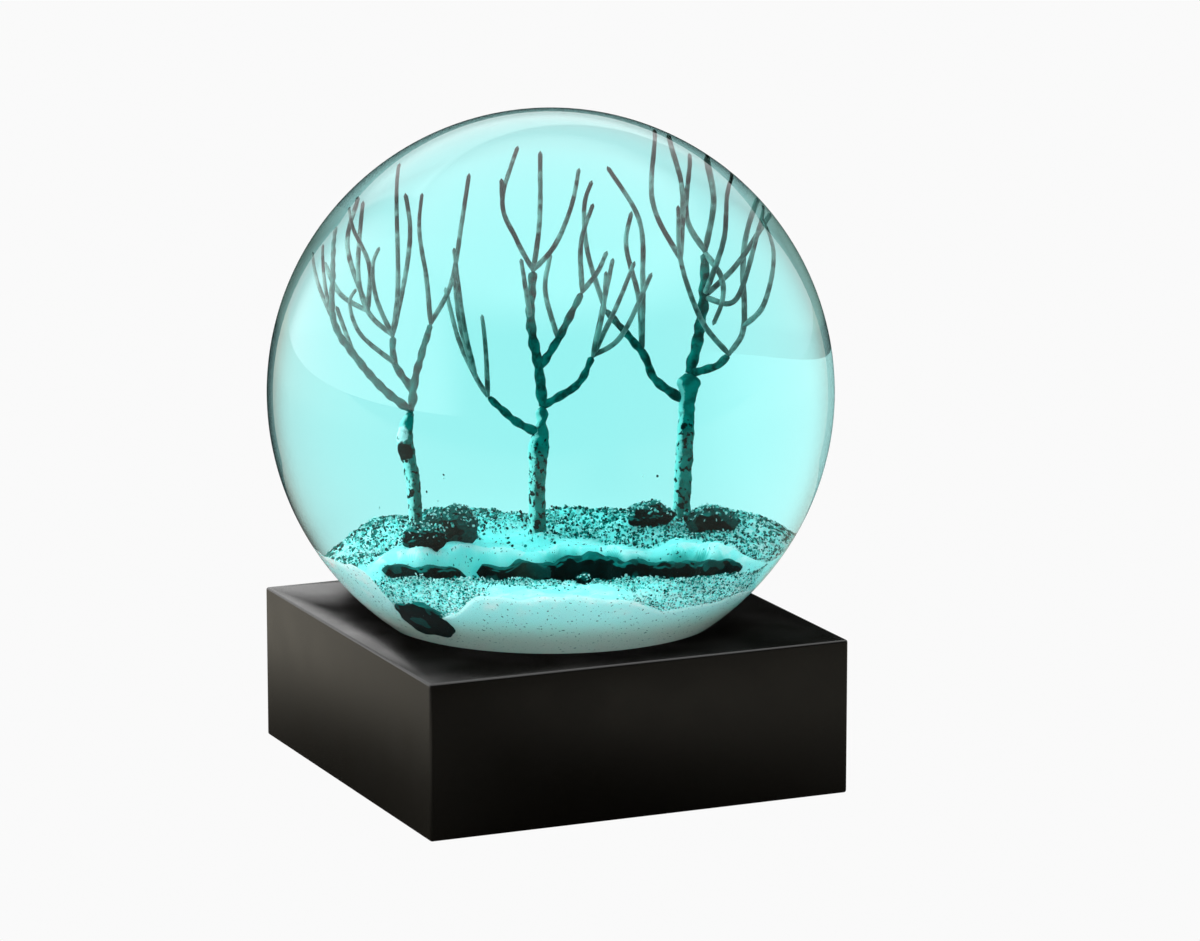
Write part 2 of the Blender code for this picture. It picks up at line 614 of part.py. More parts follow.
def settled_flakes(look):
    """The drift of flakes on the shelf in front of the rock."""
    bm = bmesh.new()
    bmesh.ops.create_grid(bm, x_segments=16, y_segments=3, size=1)
    for vert in bm.verts:
        u, v = (vert.co.x + 1) / 2, (vert.co.y + 1) / 2
        across = DRIFT_ACROSS[0] + (DRIFT_ACROSS[1] - DRIFT_ACROSS[0]) * u
        back = min(DRIFT_DEPTH[1], lip(across) - 3.2)
        depth = DRIFT_DEPTH[0] + (back - DRIFT_DEPTH[0]) * v
        vert.co = (across, depth, terrain(across, depth) + DRIFT_LIFT)
    raised = bmesh.ops.extrude_face_region(bm, geom=bm.faces[:])["geom"]
    top = [v for v in raised if isinstance(v, bmesh.types.BMVert)]
    bmesh.ops.translate(bm, vec=(0, 0, DRIFT_THICKNESS), verts=top)
    add("settled_flakes", mesh_from(bm, "settled_flakes"), look, turn=SCENERY_TURN)


def liquid(look):
    """The liquid: all of the ball above the snow, around the rocks and the trees."""
    under = snow_rings(LIQUID_CLEARANCE)
    over = ball_rings(under[-1], math.radians(8), LIQUID_ARC_STEPS)
    start = (0, 0, terrain(0, 0) + LIQUID_CLEARANCE)
    mesh = skin("liquid", under + over, start, (0, 0, GLOBE_CENTRE + FILL))
    fill = add("liquid_fill", mesh, None, turn=SCENERY_TURN)
    cutters = list(rock_meshes(GAP).values())
    for tree in TREES.values():
        cutters += [*wire_meshes(tree, GAP), bark_mesh(tree, GAP)]
    combined(fill, helpers(cutters, SCENERY_TURN), "DIFFERENCE")
    fill.data.materials.append(look)


def loose_flakes(look):
    """Six-sided flakes that rise when the globe is shaken."""
    bm = bmesh.new()
    bmesh.ops.create_cone(
        bm, cap_ends=True, segments=6, radius1=FLAKE_RADIUS, radius2=FLAKE_RADIUS,
        depth=FLAKE_THICKNESS,
    )
    mesh = mesh_from(bm, "loose_flake")
    turn = Matrix.Rotation(SCENERY_TURN, 3, "Z")
    for n, (across, depth) in enumerate(LOOSE_FLAKES, start=1):
        height = terrain(across, depth) + GAP + FLAKE_THICKNESS
        at = turn @ Vector((across, depth, height))
        add(f"loose_flake_{n}", mesh, look, at=at, turn=0.4 * n)


def main():
    clear_scene()
    lacquer = material("black_lacquer", (0.012, 0.011, 0.009), 0.35)
    board = material("raw_board", (0.24, 0.17, 0.1), 0.8)
    steel = material("zinc_steel", (0.6, 0.6, 0.58), 0.35, metallic=1)
    felt = material("black_felt", (0.02, 0.02, 0.02), 0.95)
    glass = material("clear_glass", (1, 1, 1), 0.02, transmission=1)
    rubber = material("bung_rubber", (0.03, 0.03, 0.03), 0.7)
    silicone = material("silicone", (0.75, 0.76, 0.75), 0.5)
    snow = material("cast_snow", (0.75, 0.86, 0.86), 0.55)
    stone = material("painted_rock", (0.02, 0.1, 0.1), 0.6)
    wire = material("painted_wire", (0.16, 0.2, 0.19), 0.45, metallic=0.4)
    bark = material("bark_coat", (0.3, 0.4, 0.38), 0.75)
    flakes = material("snow_flakes", (0.8, 0.9, 0.9), 0.3)
    water = material("tinted_liquid", (0.5, 0.93, 0.92), 0.02, transmission=1)
    side_panels(lacquer)
    top_board(lacquer)
    bottom_board(board)
    corner_blocks(board)
    screws(steel)
    felt_pad(felt)
    glass_globe(glass)
    bung(rubber)
    neck_seal(silicone)
    glue_bead(silicone)
    landscape(snow)
    rocks(stone)
    trees(wire, bark)
    settled_flakes(flakes)
    loose_flakes(flakes)
    liquid(water)


main()
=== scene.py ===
"""Looks of the snow globe: a liquid-filled glass ball with three bare wire trees, on a black base.

Metres, +Z up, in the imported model's frame. The scenery inside the ball is laid out in a frame of
its own, (across, depth, height) in millimetres, turned by SCENERY_TURN about the upright axis, and
depth grows away from the viewer.
"""

import json
import math

import bmesh
import bpy
import numpy as np
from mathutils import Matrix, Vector, noise

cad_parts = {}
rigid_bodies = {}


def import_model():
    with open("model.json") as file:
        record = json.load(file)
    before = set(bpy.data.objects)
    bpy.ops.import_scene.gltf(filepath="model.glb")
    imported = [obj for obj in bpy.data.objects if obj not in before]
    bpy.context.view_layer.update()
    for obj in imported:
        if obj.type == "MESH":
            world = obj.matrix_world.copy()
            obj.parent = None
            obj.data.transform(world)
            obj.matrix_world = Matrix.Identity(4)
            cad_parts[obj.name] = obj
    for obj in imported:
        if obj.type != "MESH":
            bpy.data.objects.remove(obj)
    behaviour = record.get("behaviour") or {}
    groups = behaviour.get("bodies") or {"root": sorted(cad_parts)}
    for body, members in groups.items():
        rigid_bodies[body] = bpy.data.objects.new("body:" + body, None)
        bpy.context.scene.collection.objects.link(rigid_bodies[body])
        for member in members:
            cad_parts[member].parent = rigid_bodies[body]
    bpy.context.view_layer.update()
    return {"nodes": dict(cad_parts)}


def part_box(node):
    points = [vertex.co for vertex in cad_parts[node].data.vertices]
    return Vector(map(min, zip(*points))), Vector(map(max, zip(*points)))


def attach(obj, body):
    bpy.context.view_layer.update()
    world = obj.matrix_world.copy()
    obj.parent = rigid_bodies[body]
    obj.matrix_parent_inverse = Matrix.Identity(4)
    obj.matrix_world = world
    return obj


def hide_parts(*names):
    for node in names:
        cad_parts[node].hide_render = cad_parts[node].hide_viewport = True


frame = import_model()

MM = 0.001
SEED = 7

# The ball, the base and the scenery, as the model has them, in millimetres
OUTER = 50.8
INNER = OUTER - 1.8
CASTING = INNER - 0.12
GLOBE_CENTRE = 69.0
NECK_RADIUS = 20.0
NECK_WALL = 1.8
SCENERY_TURN = math.radians(-23.9)
AHEAD = Vector((-math.sin(SCENERY_TURN), math.cos(SCENERY_TURN), 0))
RIGHT = Vector((AHEAD.y, -AHEAD.x, 0))
UP = Vector((0, 0, 1))
BASE_LOW, BASE_HIGH = (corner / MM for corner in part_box("top_board"))
BASE_SIDE = BASE_HIGH.x - BASE_LOW.x
BASE_TOP = BASE_HIGH.z
BASE_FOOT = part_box("front_panel")[0].z / MM
PANEL_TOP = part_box("front_panel")[1].z / MM
BOARD = BASE_TOP - BASE_LOW.z
CASTING_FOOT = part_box("landscape")[0].z / MM

# How finely the shapes are cut: rings along a surface and turns round it
BALL_RINGS, BALL_TURNS = 110, 192
SEAT_RINGS, SEAT_TURNS = 120, 160
SNOW_RINGS, SNOW_TURNS = 190, 340
CASTING_UNDERSIDE_RINGS = 24
LIQUID_RINGS, LIQUID_TURNS = 60, 160
LEDGE_RINGS, LEDGE_TURNS = 220, 56
WIRE_TURNS = 16
BARK_TURNS = 36

# The camera: its distance and aim in base sides, its angles in degrees, its lens in millimetres
CAMERA_DISTANCE = 12.542
CAMERA_ELEVATION = 11.775
CAMERA_BEARING = 23.341
CAMERA_PAN = 0.513
CAMERA_PITCH = 12.078
CAMERA_AIM_HEIGHT = 0.75
CAMERA_LENS = 167.8
BACKDROP_WHITE = 0.955

# Clearances and edges of the base and the ball
EASED_EDGE = 0.45
SEAT_GAP = 0.12
LIQUID_LIFT = 0.05

# The landscape
GROUND = 43.6
LEDGE_RISE = 4.9
CREST_RISE = 2.4

# Wire radii, by kind: (at the root, at the tip)
TRUNK = (0.5, 0.5)
STEM = (0.68, 0.5)
LIMB = (0.55, 0.4)
TWIG = (0.35, 0.27)

# Each trunk's coat: its radius at the foot and at the top, and the height where it narrows to the stem
COATS = {"left": (0.85, 1.05, 64.2), "middle": (1.05, 1.0, 62.8), "right": (1.0, 0.95, 68.6)}
STEM_RADIUS = 0.68

# Swellings on the coats: (height, how much thicker, half length)
KNOTS = {"left": (61.0, 0.1, 1.5), "middle": (60.2, 0.28, 1.6), "right": (67.2, 0.42, 1.3)}

# Where the left trunk's coat is bare and where it holds snow
BARE_PATCH = (-19.3, 0.6, 60.9)
SNOW_PATCH = (-19.9, 1.0, 63.1)

# The length of one turn of a twisted pair of wires
TWIST = 2.1

# How deep the trunks' wires and their coats go into the snow, below the first point
WIRE_SINK = 3.0
COAT_SINK = 1.2

# Each tree is a trunk and the wires that leave it, by (across, depth, height) along each one
LEFT_TREE = [
    (TRUNK, [(-17.5, -1, 49), (-18, 0.5, 57), (-19, 1.7, 62.5), (-18.2, 2.4, 66)]),
    (LIMB, [(-18.2, 2.4, 66), (-22, 1.6, 69), (-26.5, 0.7, 74), (-29.9, 0.1, 79), (-31.2, -0.3, 87),
            (-33, -0.6, 95)]),
    (TWIG, [(-29.9, 0.1, 79), (-31.3, 1.5, 83), (-33, 4, 90)]),
    (TWIG, [(-29.9, 0.1, 79), (-32.3, 3, 83.5), (-34, 6.5, 88)]),
    (TWIG, [(-26.5, 0.7, 74), (-28, 7, 79)]),
    (LIMB, [(-18.2, 2.4, 66), (-18, 3, 68.5), (-20.3, 3.7, 72), (-20.6, 4.5, 75.5)]),
    (TWIG, [(-20.3, 3.7, 72), (-25.8, 0, 77), (-28.1, -2, 82), (-27.5, -3, 84.5)]),
    (TWIG, [(-20.6, 4.5, 75.5), (-23.5, 7.5, 78), (-24.5, 10.5, 82.5), (-23.4, 16, 90)]),
    (TWIG, [(-23.5, 7.5, 78), (-25.3, 14, 84.5), (-22.8, 20, 88.5)]),
    (TWIG, [(-23.5, 7.5, 78), (-26.3, 12, 79), (-27.3, 17, 81.5)]),
    (TWIG, [(-23.5, 7.5, 78), (-24.4, 4.2, 85.5), (-28, 2.7, 92), (-30.5, 2.4, 97)]),
    (TWIG, [(-20.6, 4.5, 75.5), (-23.2, 3.4, 81), (-24.2, 2.4, 86), (-23.6, 1.8, 89)]),
    (TWIG, [(-20.6, 4.5, 75.5), (-19.9, 6.3, 81), (-20, 8.2, 87.5), (-20.7, 11.5, 98.5)]),
    (TWIG, [(-20.6, 4.5, 75.5), (-18.6, 9.3, 82), (-17.5, 14, 86.5), (-17.7, 17.5, 90)]),
    (LIMB, [(-18.2, 2.4, 66), (-17.6, 3, 70.5), (-15.7, 3.8, 77.3)]),
    (TWIG, [(-15.7, 3.8, 77.3), (-16.6, 2.6, 84), (-18.1, 1, 91.5), (-18.4, 0.1, 98)]),
    (TWIG, [(-15.7, 3.8, 77.3), (-12.9, 6.6, 82), (-11.4, 10.5, 89), (-10.4, 13.5, 94.5)]),
]
MIDDLE_TREE = [
    (TRUNK, [(-1.7, 5.2, 49.5), (-1.8, 6.5, 56.5), (-1.4, 7.8, 62), (-1.1, 8.4, 65.5)]),
    (LIMB, [(-1.4, 7.8, 62), (-4.6, 6.4, 64), (-8.1, 4.8, 67.4)]),
    (TWIG, [(-8.1, 4.8, 67.4), (-8.5, 3.3, 74), (-9.1, 2, 79)]),
    (TWIG, [(-8.1, 4.8, 67.4), (-9.7, 5.2, 70), (-11.7, 8.7, 74), (-13.2, 12.5, 79.7)]),
    (TWIG, [(-9.7, 5.2, 70), (-11.8, 4.7, 77), (-12.8, 4.3, 84.3)]),
    (TWIG, [(-9.7, 5.2, 70), (-11.4, 3, 77.5), (-13.2, 0.2, 89)]),
    (STEM, [(-1.1, 8.4, 65.5), (-1.6, 9.2, 70), (-2.6, 10, 76), (-2.3, 11, 82.3)]),
    (TWIG, [(-2.3, 11, 82.3), (-4.4, 10.5, 86.5), (-6.3, 10, 92), (-4.3, 13.5, 98.5)]),
    (TWIG, [(-6.3, 10, 92), (-6.5, 9.5, 95.5)]),
    (TWIG, [(-2.3, 11, 82.3), (-1.5, 14.5, 87.5), (-1.4, 19.5, 94.5)]),
    (TWIG, [(-2.3, 11, 82.3), (0.5, 10.3, 86), (2.6, 9.6, 91.5), (3.7, 9, 97.3)]),
    (TWIG, [(-2.6, 10, 76), (-3.9, 7.5, 85)]),
    (LIMB, [(-1.6, 9.2, 70), (0.8, 10, 73.7), (3.8, 11.4, 79.4)]),
    (TWIG, [(0.8, 10, 73.7), (-0.8, 15, 78.5), (-0.2, 19, 82)]),
    (TWIG, [(3.8, 11.4, 79.4), (3.8, 9.6, 86.5), (5.5, 8, 92.5)]),
    (TWIG, [(3.8, 11.4, 79.4), (5.8, 10.6, 82.3), (7.1, 9.8, 85.3)]),
    (LIMB, [(-1.1, 8.4, 65.5), (3.3, 8, 68.4), (5.2, 7.9, 72)]),
    (TWIG, [(5.2, 7.9, 72), (6.7, 5.6, 78.5), (7.3, 3.3, 84.6)]),
    (TWIG, [(5.2, 7.9, 72), (6.7, 11.5, 79), (7.5, 15, 82.7)]),
    (TWIG, [(5.2, 7.9, 72), (8.5, 7.6, 79), (10.8, 7.5, 84.7)]),
    (TWIG, [(5.2, 7.9, 72), (8.8, 9.6, 74.3), (12.5, 12.3, 81.7)]),
]
RIGHT_TREE = [
    (TRUNK, [(15.2, 12.5, 50.5), (15.7, 14, 58), (16.1, 15.4, 64.5), (16.3, 16.2, 68)]),
    (STEM, [(16.3, 16.2, 68), (17.2, 17.3, 71.5), (17.8, 19, 76.5), (17.7, 21, 81.3)]),
    (LIMB, [(16.1, 15.4, 64.5), (12.4, 14.8, 67.6), (10.9, 14.5, 71), (6.5, 14, 76.5)]),
    (TWIG, [(6.5, 14, 76.5), (4.4, 13.7, 84), (4.1, 13.5, 90), (5.1, 13.4, 93.5)]),
    (TWIG, [(10.9, 14.5, 71), (10.4, 17, 77), (8.7, 20, 82.5), (9.2, 22, 86)]),
    (TWIG, [(10.9, 14.5, 71), (11, 16, 79.7), (10.6, 16.5, 87), (6.8, 16.5, 94)]),
    (TWIG, [(17.7, 21, 81.3), (15.8, 19.7, 86.5), (17.2, 18, 95.8)]),
    (TWIG, [(17.7, 21, 81.3), (18, 24, 86), (16.2, 26.8, 89.3)]),
    (TWIG, [(17.7, 21, 81.3), (20.1, 17.8, 79.3), (20.5, 15.8, 77), (19.7, 13.5, 74.6)]),
    (LIMB, [(16.3, 16.2, 68), (19.5, 15.4, 69), (21.3, 14.8, 70.6)]),
    (TWIG, [(21.3, 14.8, 70.6), (18.2, 14, 75.2), (16, 13.2, 83), (16, 12.8, 90.5)]),
    (TWIG, [(16, 13.2, 83), (12.3, 16.4, 89.5), (12.6, 20.6, 98)]),
    (TWIG, [(16, 13.2, 83), (15.6, 18.6, 90), (12.7, 25.5, 93)]),
    (TWIG, [(21.3, 14.8, 70.6), (22.7, 17, 73.5), (21.7, 22, 80.5), (21.7, 26, 85)]),
    (TWIG, [(22.7, 17, 73.5), (25.8, 14.6, 77), (27.9, 13.9, 84), (27.4, 13.6, 89.5)]),
    (TWIG, [(17.8, 19, 76.5), (21.4, 20.9, 80), (24.2, 23.8, 84.6)]),
    (TWIG, [(17.8, 19, 76.5), (20.6, 17.2, 84), (21.9, 16.1, 91), (24.4, 16, 96)]),
    (TWIG, [(17.8, 19, 76.5), (22, 16.5, 77), (24.9, 17.2, 85.2), (26.8, 17.7, 89.7)]),
]
TREES = {"left": LEFT_TREE, "middle": MIDDLE_TREE, "right": RIGHT_TREE}

# Rock bands under the snow's lip: (from, to) across, and their (foot, top) heights
LEDGES = {"rock_ledge": ((-9, 26), (43.2, 47.4)), "left_rock_ledge": ((-23, -12), (43.4, 46.6))}

# Loose rocks: (across, depth), half sizes, and the share of the lower half that sinks into the snow
BOULDERS = {
    "boulder_left_back": ((-12.8, 2.2), (3.3, 2.5, 2.5), 0.5),
    "boulder_left_front": ((-17.0, -4.7), (3.0, 2.0, 2.1), 0.4),
    "boulder_right_inner": ((12.0, 8.5), (2.6, 2.0, 1.7), 0.4),
    "boulder_right_outer": ((19.5, 9.0), (3.1, 2.2, 2.0), 0.4),
    "pebble_front": ((5.0, -21.0), (1.1, 0.9, 0.9), 0.3),
}

# The rock at the foot of the glass: (across, depth, height) and half sizes
CORNER_ROCK = ((-21.5, -27.0, 34.0), (5.2, 5.0, 4.6))

# How many flakes lie in front of the lip, behind it, in each loose patch and on each loose rock
SHELF_FLAKES = 9500
GROUND_FLAKES = 11500
PATCH_FLAKES = 110
BOULDER_FLAKES = {
    "boulder_left_back": 190,
    "boulder_left_front": 170,
    "boulder_right_inner": 110,
    "boulder_right_outer": 140,
    "pebble_front": 25,
}

# Flakes that hang in the liquid: (across, depth, height)
DRIFTING = [
    (-14, 0, 57.5),
    (-15, -3, 54.8),
    (-22.5, 0, 53.5),
    (-11.5, 2, 53.2),
    (-5, 4, 51.6),
    (0, 8, 53),
    (11.5, 6, 57),
]

# Patches of flakes that rise with each body, by (across, depth)
LOOSE_PATCHES = [(-20, -14), (-12, -19), (-4, -11), (5, -16), (13, -10.5), (21, -15)]

# A flake: its smallest and largest radius, and its corners
FLAKE_RADII = (0.16, 0.27)
FLAKE_CORNERS = 6

# The shares of white, pale, teal and dark flakes: a lighter mix in the open, and a darker mix, painted shade,
# on the ground behind the lip, under the rock and in the liquid
SHELF_TINTS = (0.4, 0.24, 0.2, 0.16)
SHADED_TINTS = (0.2, 0.16, 0.36, 0.28)

# Optics: how strongly glass and liquid bend light, the glass's tint where the way through it is
# long, and the share of gloss that is left on a surface that liquid wets
GLASS_IOR = 1.5
LIQUID_IOR = 1.36
EDGE_TINT = (0.97, 0.84, 0.81, 1.0)
UNDER_LIQUID = 0.05


# Shapes


def to_frame(points):
    """Scenery points in millimetres, as an array, in the row frame in metres."""
    points = np.asarray(points, float)
    turn = np.array(
        [
            [math.cos(SCENERY_TURN), math.sin(SCENERY_TURN), 0],
            [-math.sin(SCENERY_TURN), math.cos(SCENERY_TURN), 0],
            [0, 0, 1],
        ]
    )
    return points @ turn * MM


def skin(rings, start, end):
    """Points and faces of a closed surface through rings of points, its ends drawn in to a point."""
    count = len(rings[0])
    last = (len(rings) - 1) * count
    points = [tuple(point) for ring in rings for point in ring] + [tuple(start), tuple(end)]
    first_tip, last_tip = len(points) - 2, len(points) - 1
    faces = []
    for n in range(count):
        after = (n + 1) % count
        for ring in range(0, last, count):
            following = ring + count
            faces.append((ring + n, ring + after, following + after, following + n))
        faces.append((first_tip, after, n))
        faces.append((last_tip, last + n, last + after))
    return points, faces


def joined(shapes):
    """Several (points, faces) as one."""
    points, faces = [], []
    for more_points, more_faces in shapes:
        first = len(points)
        points += more_points
        faces += [tuple(first + corner for corner in face) for face in more_faces]
    return points, faces


def mesh_of(name, shape, convert=to_frame):
    """A smooth mesh of (points, faces), with its normals outwards."""
    points, faces = shape
    mesh = bpy.data.meshes.new(name)
    mesh.from_pydata([tuple(point) for point in convert(points)], [], faces)
    bm = bmesh.new()
    bm.from_mesh(mesh)
    bmesh.ops.recalc_face_normals(bm, faces=bm.faces)
    bm.to_mesh(mesh)
    bm.free()
    mesh.shade_smooth()
    return mesh


def upright(points):
    """Points in millimetres, in the row frame in metres."""
    return np.asarray(points, float) * MM


def linked(name, data):
    """A new object in the scene."""
    obj = bpy.data.objects.new(name, data)
    bpy.context.scene.collection.objects.link(obj)
    return obj


def add(name, mesh, looks, replaced=(), body="globe"):
    """A piece that rides on a body, stands for CAD nodes and takes its finish from a slot."""
    obj = linked(name, mesh)
    for look in looks:
        mesh.materials.append(look)
    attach(obj, body)
    if replaced:
        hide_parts(*replaced)
    return obj


def circle(radius, height, turns):
    """Points round the upright axis."""
    angles = [math.tau * n / turns for n in range(turns)]
    return [(radius * math.cos(angle), radius * math.sin(angle), height) for angle in angles]


def arc(radius, first, last, steps):
    """Points as (radius, height) on the ball, by angles from straight up."""
    angles = [first + (last - first) * n / steps for n in range(steps + 1)]
    return [(radius * math.sin(a), GLOBE_CENTRE + radius * math.cos(a)) for a in angles]


def smooth_path(points, spacing):
    """Points about spacing apart on a smooth curve through the given points."""
    points = [Vector(point) for point in points]
    padded = [2 * points[0] - points[1], *points, 2 * points[-1] - points[-2]]
    path = []
    for before, start, end, after in zip(padded, padded[1:], padded[2:], padded[3:]):
        steps = max(2, round((end - start).length / spacing))
        for n in range(steps):
            t = n / steps
            path.append(
                0.5
                * (
                    2 * start
                    + t * (end - before)
                    + t**2 * (2 * before - 5 * start + 4 * end - after)
                    + t**3 * (3 * start - before - 3 * end + after)
                )
            )
    return [*path, points[-1]]


def tube(path, radius_at, sides):
    """A tube along a path.

    radius_at takes the share of the way along, the angle round, the direction outwards and the place.
    """
    side = (path[1] - path[0]).orthogonal().normalized()
    rings = []
    for n, point in enumerate(path):
        along = (path[min(n + 1, len(path) - 1)] - path[max(n - 1, 0)]).normalized()
        side = (side - side.dot(along) * along).normalized()
        other = along.cross(side)
        ring = []
        for k in range(sides):
            angle = math.tau * k / sides
            outward = math.cos(angle) * side + math.sin(angle) * other
            ring.append(point + radius_at(n / (len(path) - 1), angle, outward, point) * outward)
        rings.append(ring)
    return skin(rings, path[0], path[-1])


# The landscape's shape


def ease(low, high, value):
    """0 below low, 1 above high, and a smooth step between."""
    t = min(max((value - low) / (high - low), 0), 1)
    return t * t * (3 - 2 * t)


def swell(value, centre, half_width):
    """1 at the centre, falling smoothly to nothing on both sides of it."""
    return math.exp(-(((value - centre) / half_width) ** 2))


def lip(across):
    """How deep in the scene the snow shelf's front edge lies."""
    return -2 - 5 * ease(10, 18, -across) + 1.1 * math.sin(0.45 * across) + 0.6 * math.sin(1.1 * across)


def dip(across, depth):
    """How far the snow falls away towards the front glass: into a gully on the left, a slope on the right."""
    gully = 7.5 * ease(-32.5, -24, across) * (1 - ease(-19, -11, across))
    slope = 2.3 * ease(-32.5, -24, across) + 4.8 * ease(8, 22, across)
    return (gully + slope) * ease(22, 40, math.hypot(across, depth)) * ease(4, 10, -depth)


def terrain(across, depth):
    """The height of the snow: low in front of the lip, high behind it, and low again by the glass."""
    past_lip = depth - lip(across)
    rise = LEDGE_RISE + CREST_RISE * ease(0, 16, past_lip)
    middle = 1 - ease(20, 31, abs(across - 2))
    front = 1 - 0.55 * ease(20, 36, depth)
    ripple = 0.35 * math.sin(0.42 * across + 0.3 * depth) + 0.2 * math.sin(0.9 * across - 0.55 * depth)
    return GROUND + rise * ease(-0.9, 0.9, past_lip) * middle * front + ripple - dip(across, depth)


def rough_snow(across, depth):
    """The snow's height with its lumps."""
    place = Vector((across, depth, 0))
    lumps = 0.3 * noise.noise(0.35 * place) + 0.14 * noise.noise(1.1 * place)
    return terrain(across, depth) + lumps


def ball_radius(height):
    """How far the casting reaches from the upright axis at a height."""
    return math.sqrt(CASTING**2 - (height - GLOBE_CENTRE) ** 2)


def shore(angle, lift):
    """Where the snow, raised by lift, meets the ball in this direction."""
    reach = 40.0
    for _ in range(60):
        across, depth = reach * math.cos(angle), reach * math.sin(angle)
        reach = ball_radius(rough_snow(across, depth) + lift)
    return reach


def snow_rings(lift, rings, turns):
    """Rings over the snow, raised by lift, from near the middle out to the ball."""
    angles = [math.tau * n / turns for n in range(turns)]
    shores = [shore(angle, lift) for angle in angles]
    made = []
    for step in range(1, rings + 1):
        ring = []
        for angle, reach in zip(angles, shores):
            across = reach * step / rings * math.cos(angle)
            depth = reach * step / rings * math.sin(angle)
            ring.append((across, depth, rough_snow(across, depth) + lift))
        made.append(ring)
    return made


def ball_rings(shore_ring, last, steps):
    """Rings on the ball, from the shore to the angle last, measured from straight up."""
    rings = []
    for step in range(1, steps + 1):
        ring = []
        for across, depth, height in shore_ring:
            bearing = math.atan2(depth, across)
            first = math.acos((height - GLOBE_CENTRE) / CASTING)
            angle = first + (last - first) * step / steps
            flat = CASTING * math.sin(angle)
            up = GLOBE_CENTRE + CASTING * math.cos(angle)
            ring.append((flat * math.cos(bearing), flat * math.sin(bearing), up))
        rings.append(ring)
    return rings


def craggy(place):
    """How far a rock's surface stands out, as a share of its size, with ridges and chipped facets."""
    facets = noise.voronoi(1.4 * place)[0]
    chips = facets[1] - facets[0]
    return 0.28 * noise.noise(2.1 * place) + 0.1 * chips + 0.05 * noise.noise(7 * place)


# Node helpers


def node(look, kind, inputs=(), **properties):
    """A shader node with its properties set, and its inputs set or linked."""
    made = look.node_tree.nodes.new(kind)
    for key, value in properties.items():
        setattr(made, key, value)
    for key, value in dict(inputs).items():
        if isinstance(value, bpy.types.NodeSocket):
            look.node_tree.links.new(value, made.inputs[key])
        else:
            made.inputs[key].default_value = value
    return made


def new_look(name, **plain):
    """A material with a Principled shader, and that shader's plain values by input name."""
    look = bpy.data.materials.new(name)
    look.use_nodes = True
    shader = look.node_tree.nodes["Principled BSDF"]
    for key, value in plain.items():
        shader.inputs[key.replace("_", " ")].default_value = value
    return look


def shader_of(look):
    return look.node_tree.nodes["Principled BSDF"]


def feed(look, socket, name):
    """Links a socket to an input of the look's shader."""
    look.node_tree.links.new(socket, shader_of(look).inputs[name])


def in_mm(look):
    """The place on the object, in millimetres."""
    place = node(look, "ShaderNodeTexCoord").outputs["Object"]
    return node(look, "ShaderNodeVectorMath", {0: place, 3: 1 / MM}, operation="SCALE").outputs[0]


def grain(look, scale, detail=3.0, stretch=(1, 1, 1)):
    """Noise from 0 to 1 with about scale lumps to a millimetre."""
    place = node(look, "ShaderNodeVectorMath", {0: in_mm(look), 1: stretch}, operation="MULTIPLY")
    inputs = {"Vector": place.outputs[0], "Scale": scale, "Detail": detail}
    return node(look, "ShaderNodeTexNoise", inputs).outputs["Fac"]


def spread(look, value, low, high, to_low=0.0, to_high=1.0):
    """value taken from low..high to to_low..to_high, and held at the ends."""
    inputs = {0: value, 1: low, 2: high, 3: to_low, 4: to_high}
    return node(look, "ShaderNodeMapRange", inputs, interpolation_type="SMOOTHSTEP").outputs[0]


def mixed(look, share, first, second):
    """The first colour at share 0, and the second at 1."""
    inputs = {0: share, 6: first, 7: second}
    return node(look, "ShaderNodeMix", inputs, data_type="RGBA").outputs[2]


def colour(red, green, blue):
    return (red, green, blue, 1.0)


def math_node(look, operation, first, *others):
    """The operation on two values or, one after the other, on more."""
    for other in others:
        first = node(look, "ShaderNodeMath", {0: first, 1: other}, operation=operation).outputs[0]
    return first


def bumped(look, height, distance_mm, strength=1.0):
    """Turns a height from 0 to 1 into relief that deep."""
    inputs = {"Height": height, "Distance": distance_mm * MM, "Strength": strength}
    feed(look, node(look, "ShaderNodeBump", inputs).outputs[0], "Normal")


def mottled(look, scale, detail, first, second):
    """Paints the look in two colours, mixed by noise."""
    feed(look, mixed(look, grain(look, scale, detail), colour(*first), colour(*second)), "Base Color")


def part_of(look, name, axis):
    """One axis of the surface's normal or of the place in millimetres."""
    source = in_mm(look) if name == "place" else node(look, "ShaderNodeNewGeometry").outputs["Normal"]
    return node(look, "ShaderNodeSeparateXYZ", {0: source}).outputs[axis]


# Materials


def lacquer_look():
    """Black satin lacquer with a faint orange peel and patches of dust."""
    look = new_look("black_lacquer", Specular_IOR_Level=0.5)
    dust = spread(look, grain(look, 2.5, 6), 0.52, 0.75)
    feed(look, mixed(look, dust, colour(0.0028, 0.0024, 0.0016), colour(0.007, 0.006, 0.0045)), "Base Color")
    feed(look, spread(look, grain(look, 0.12, 4), 0.3, 0.7, 0.2, 0.27), "Roughness")
    bumped(look, grain(look, 1.1, 2), 0.01, 0.35)
    return look


def clear_for_lamps(look, tint):
    """Lets lamps shine straight through a clear shader, so that what is behind it is lit."""
    is_shadow = node(look, "ShaderNodeLightPath").outputs["Is Shadow Ray"]
    through = node(look, "ShaderNodeBsdfTransparent", {0: tint}).outputs[0]
    inputs = {0: is_shadow, 1: shader_of(look).outputs[0], 2: through}
    both = node(look, "ShaderNodeMixShader", inputs).outputs[0]
    look.node_tree.links.new(both, look.node_tree.nodes["Material Output"].inputs["Surface"])


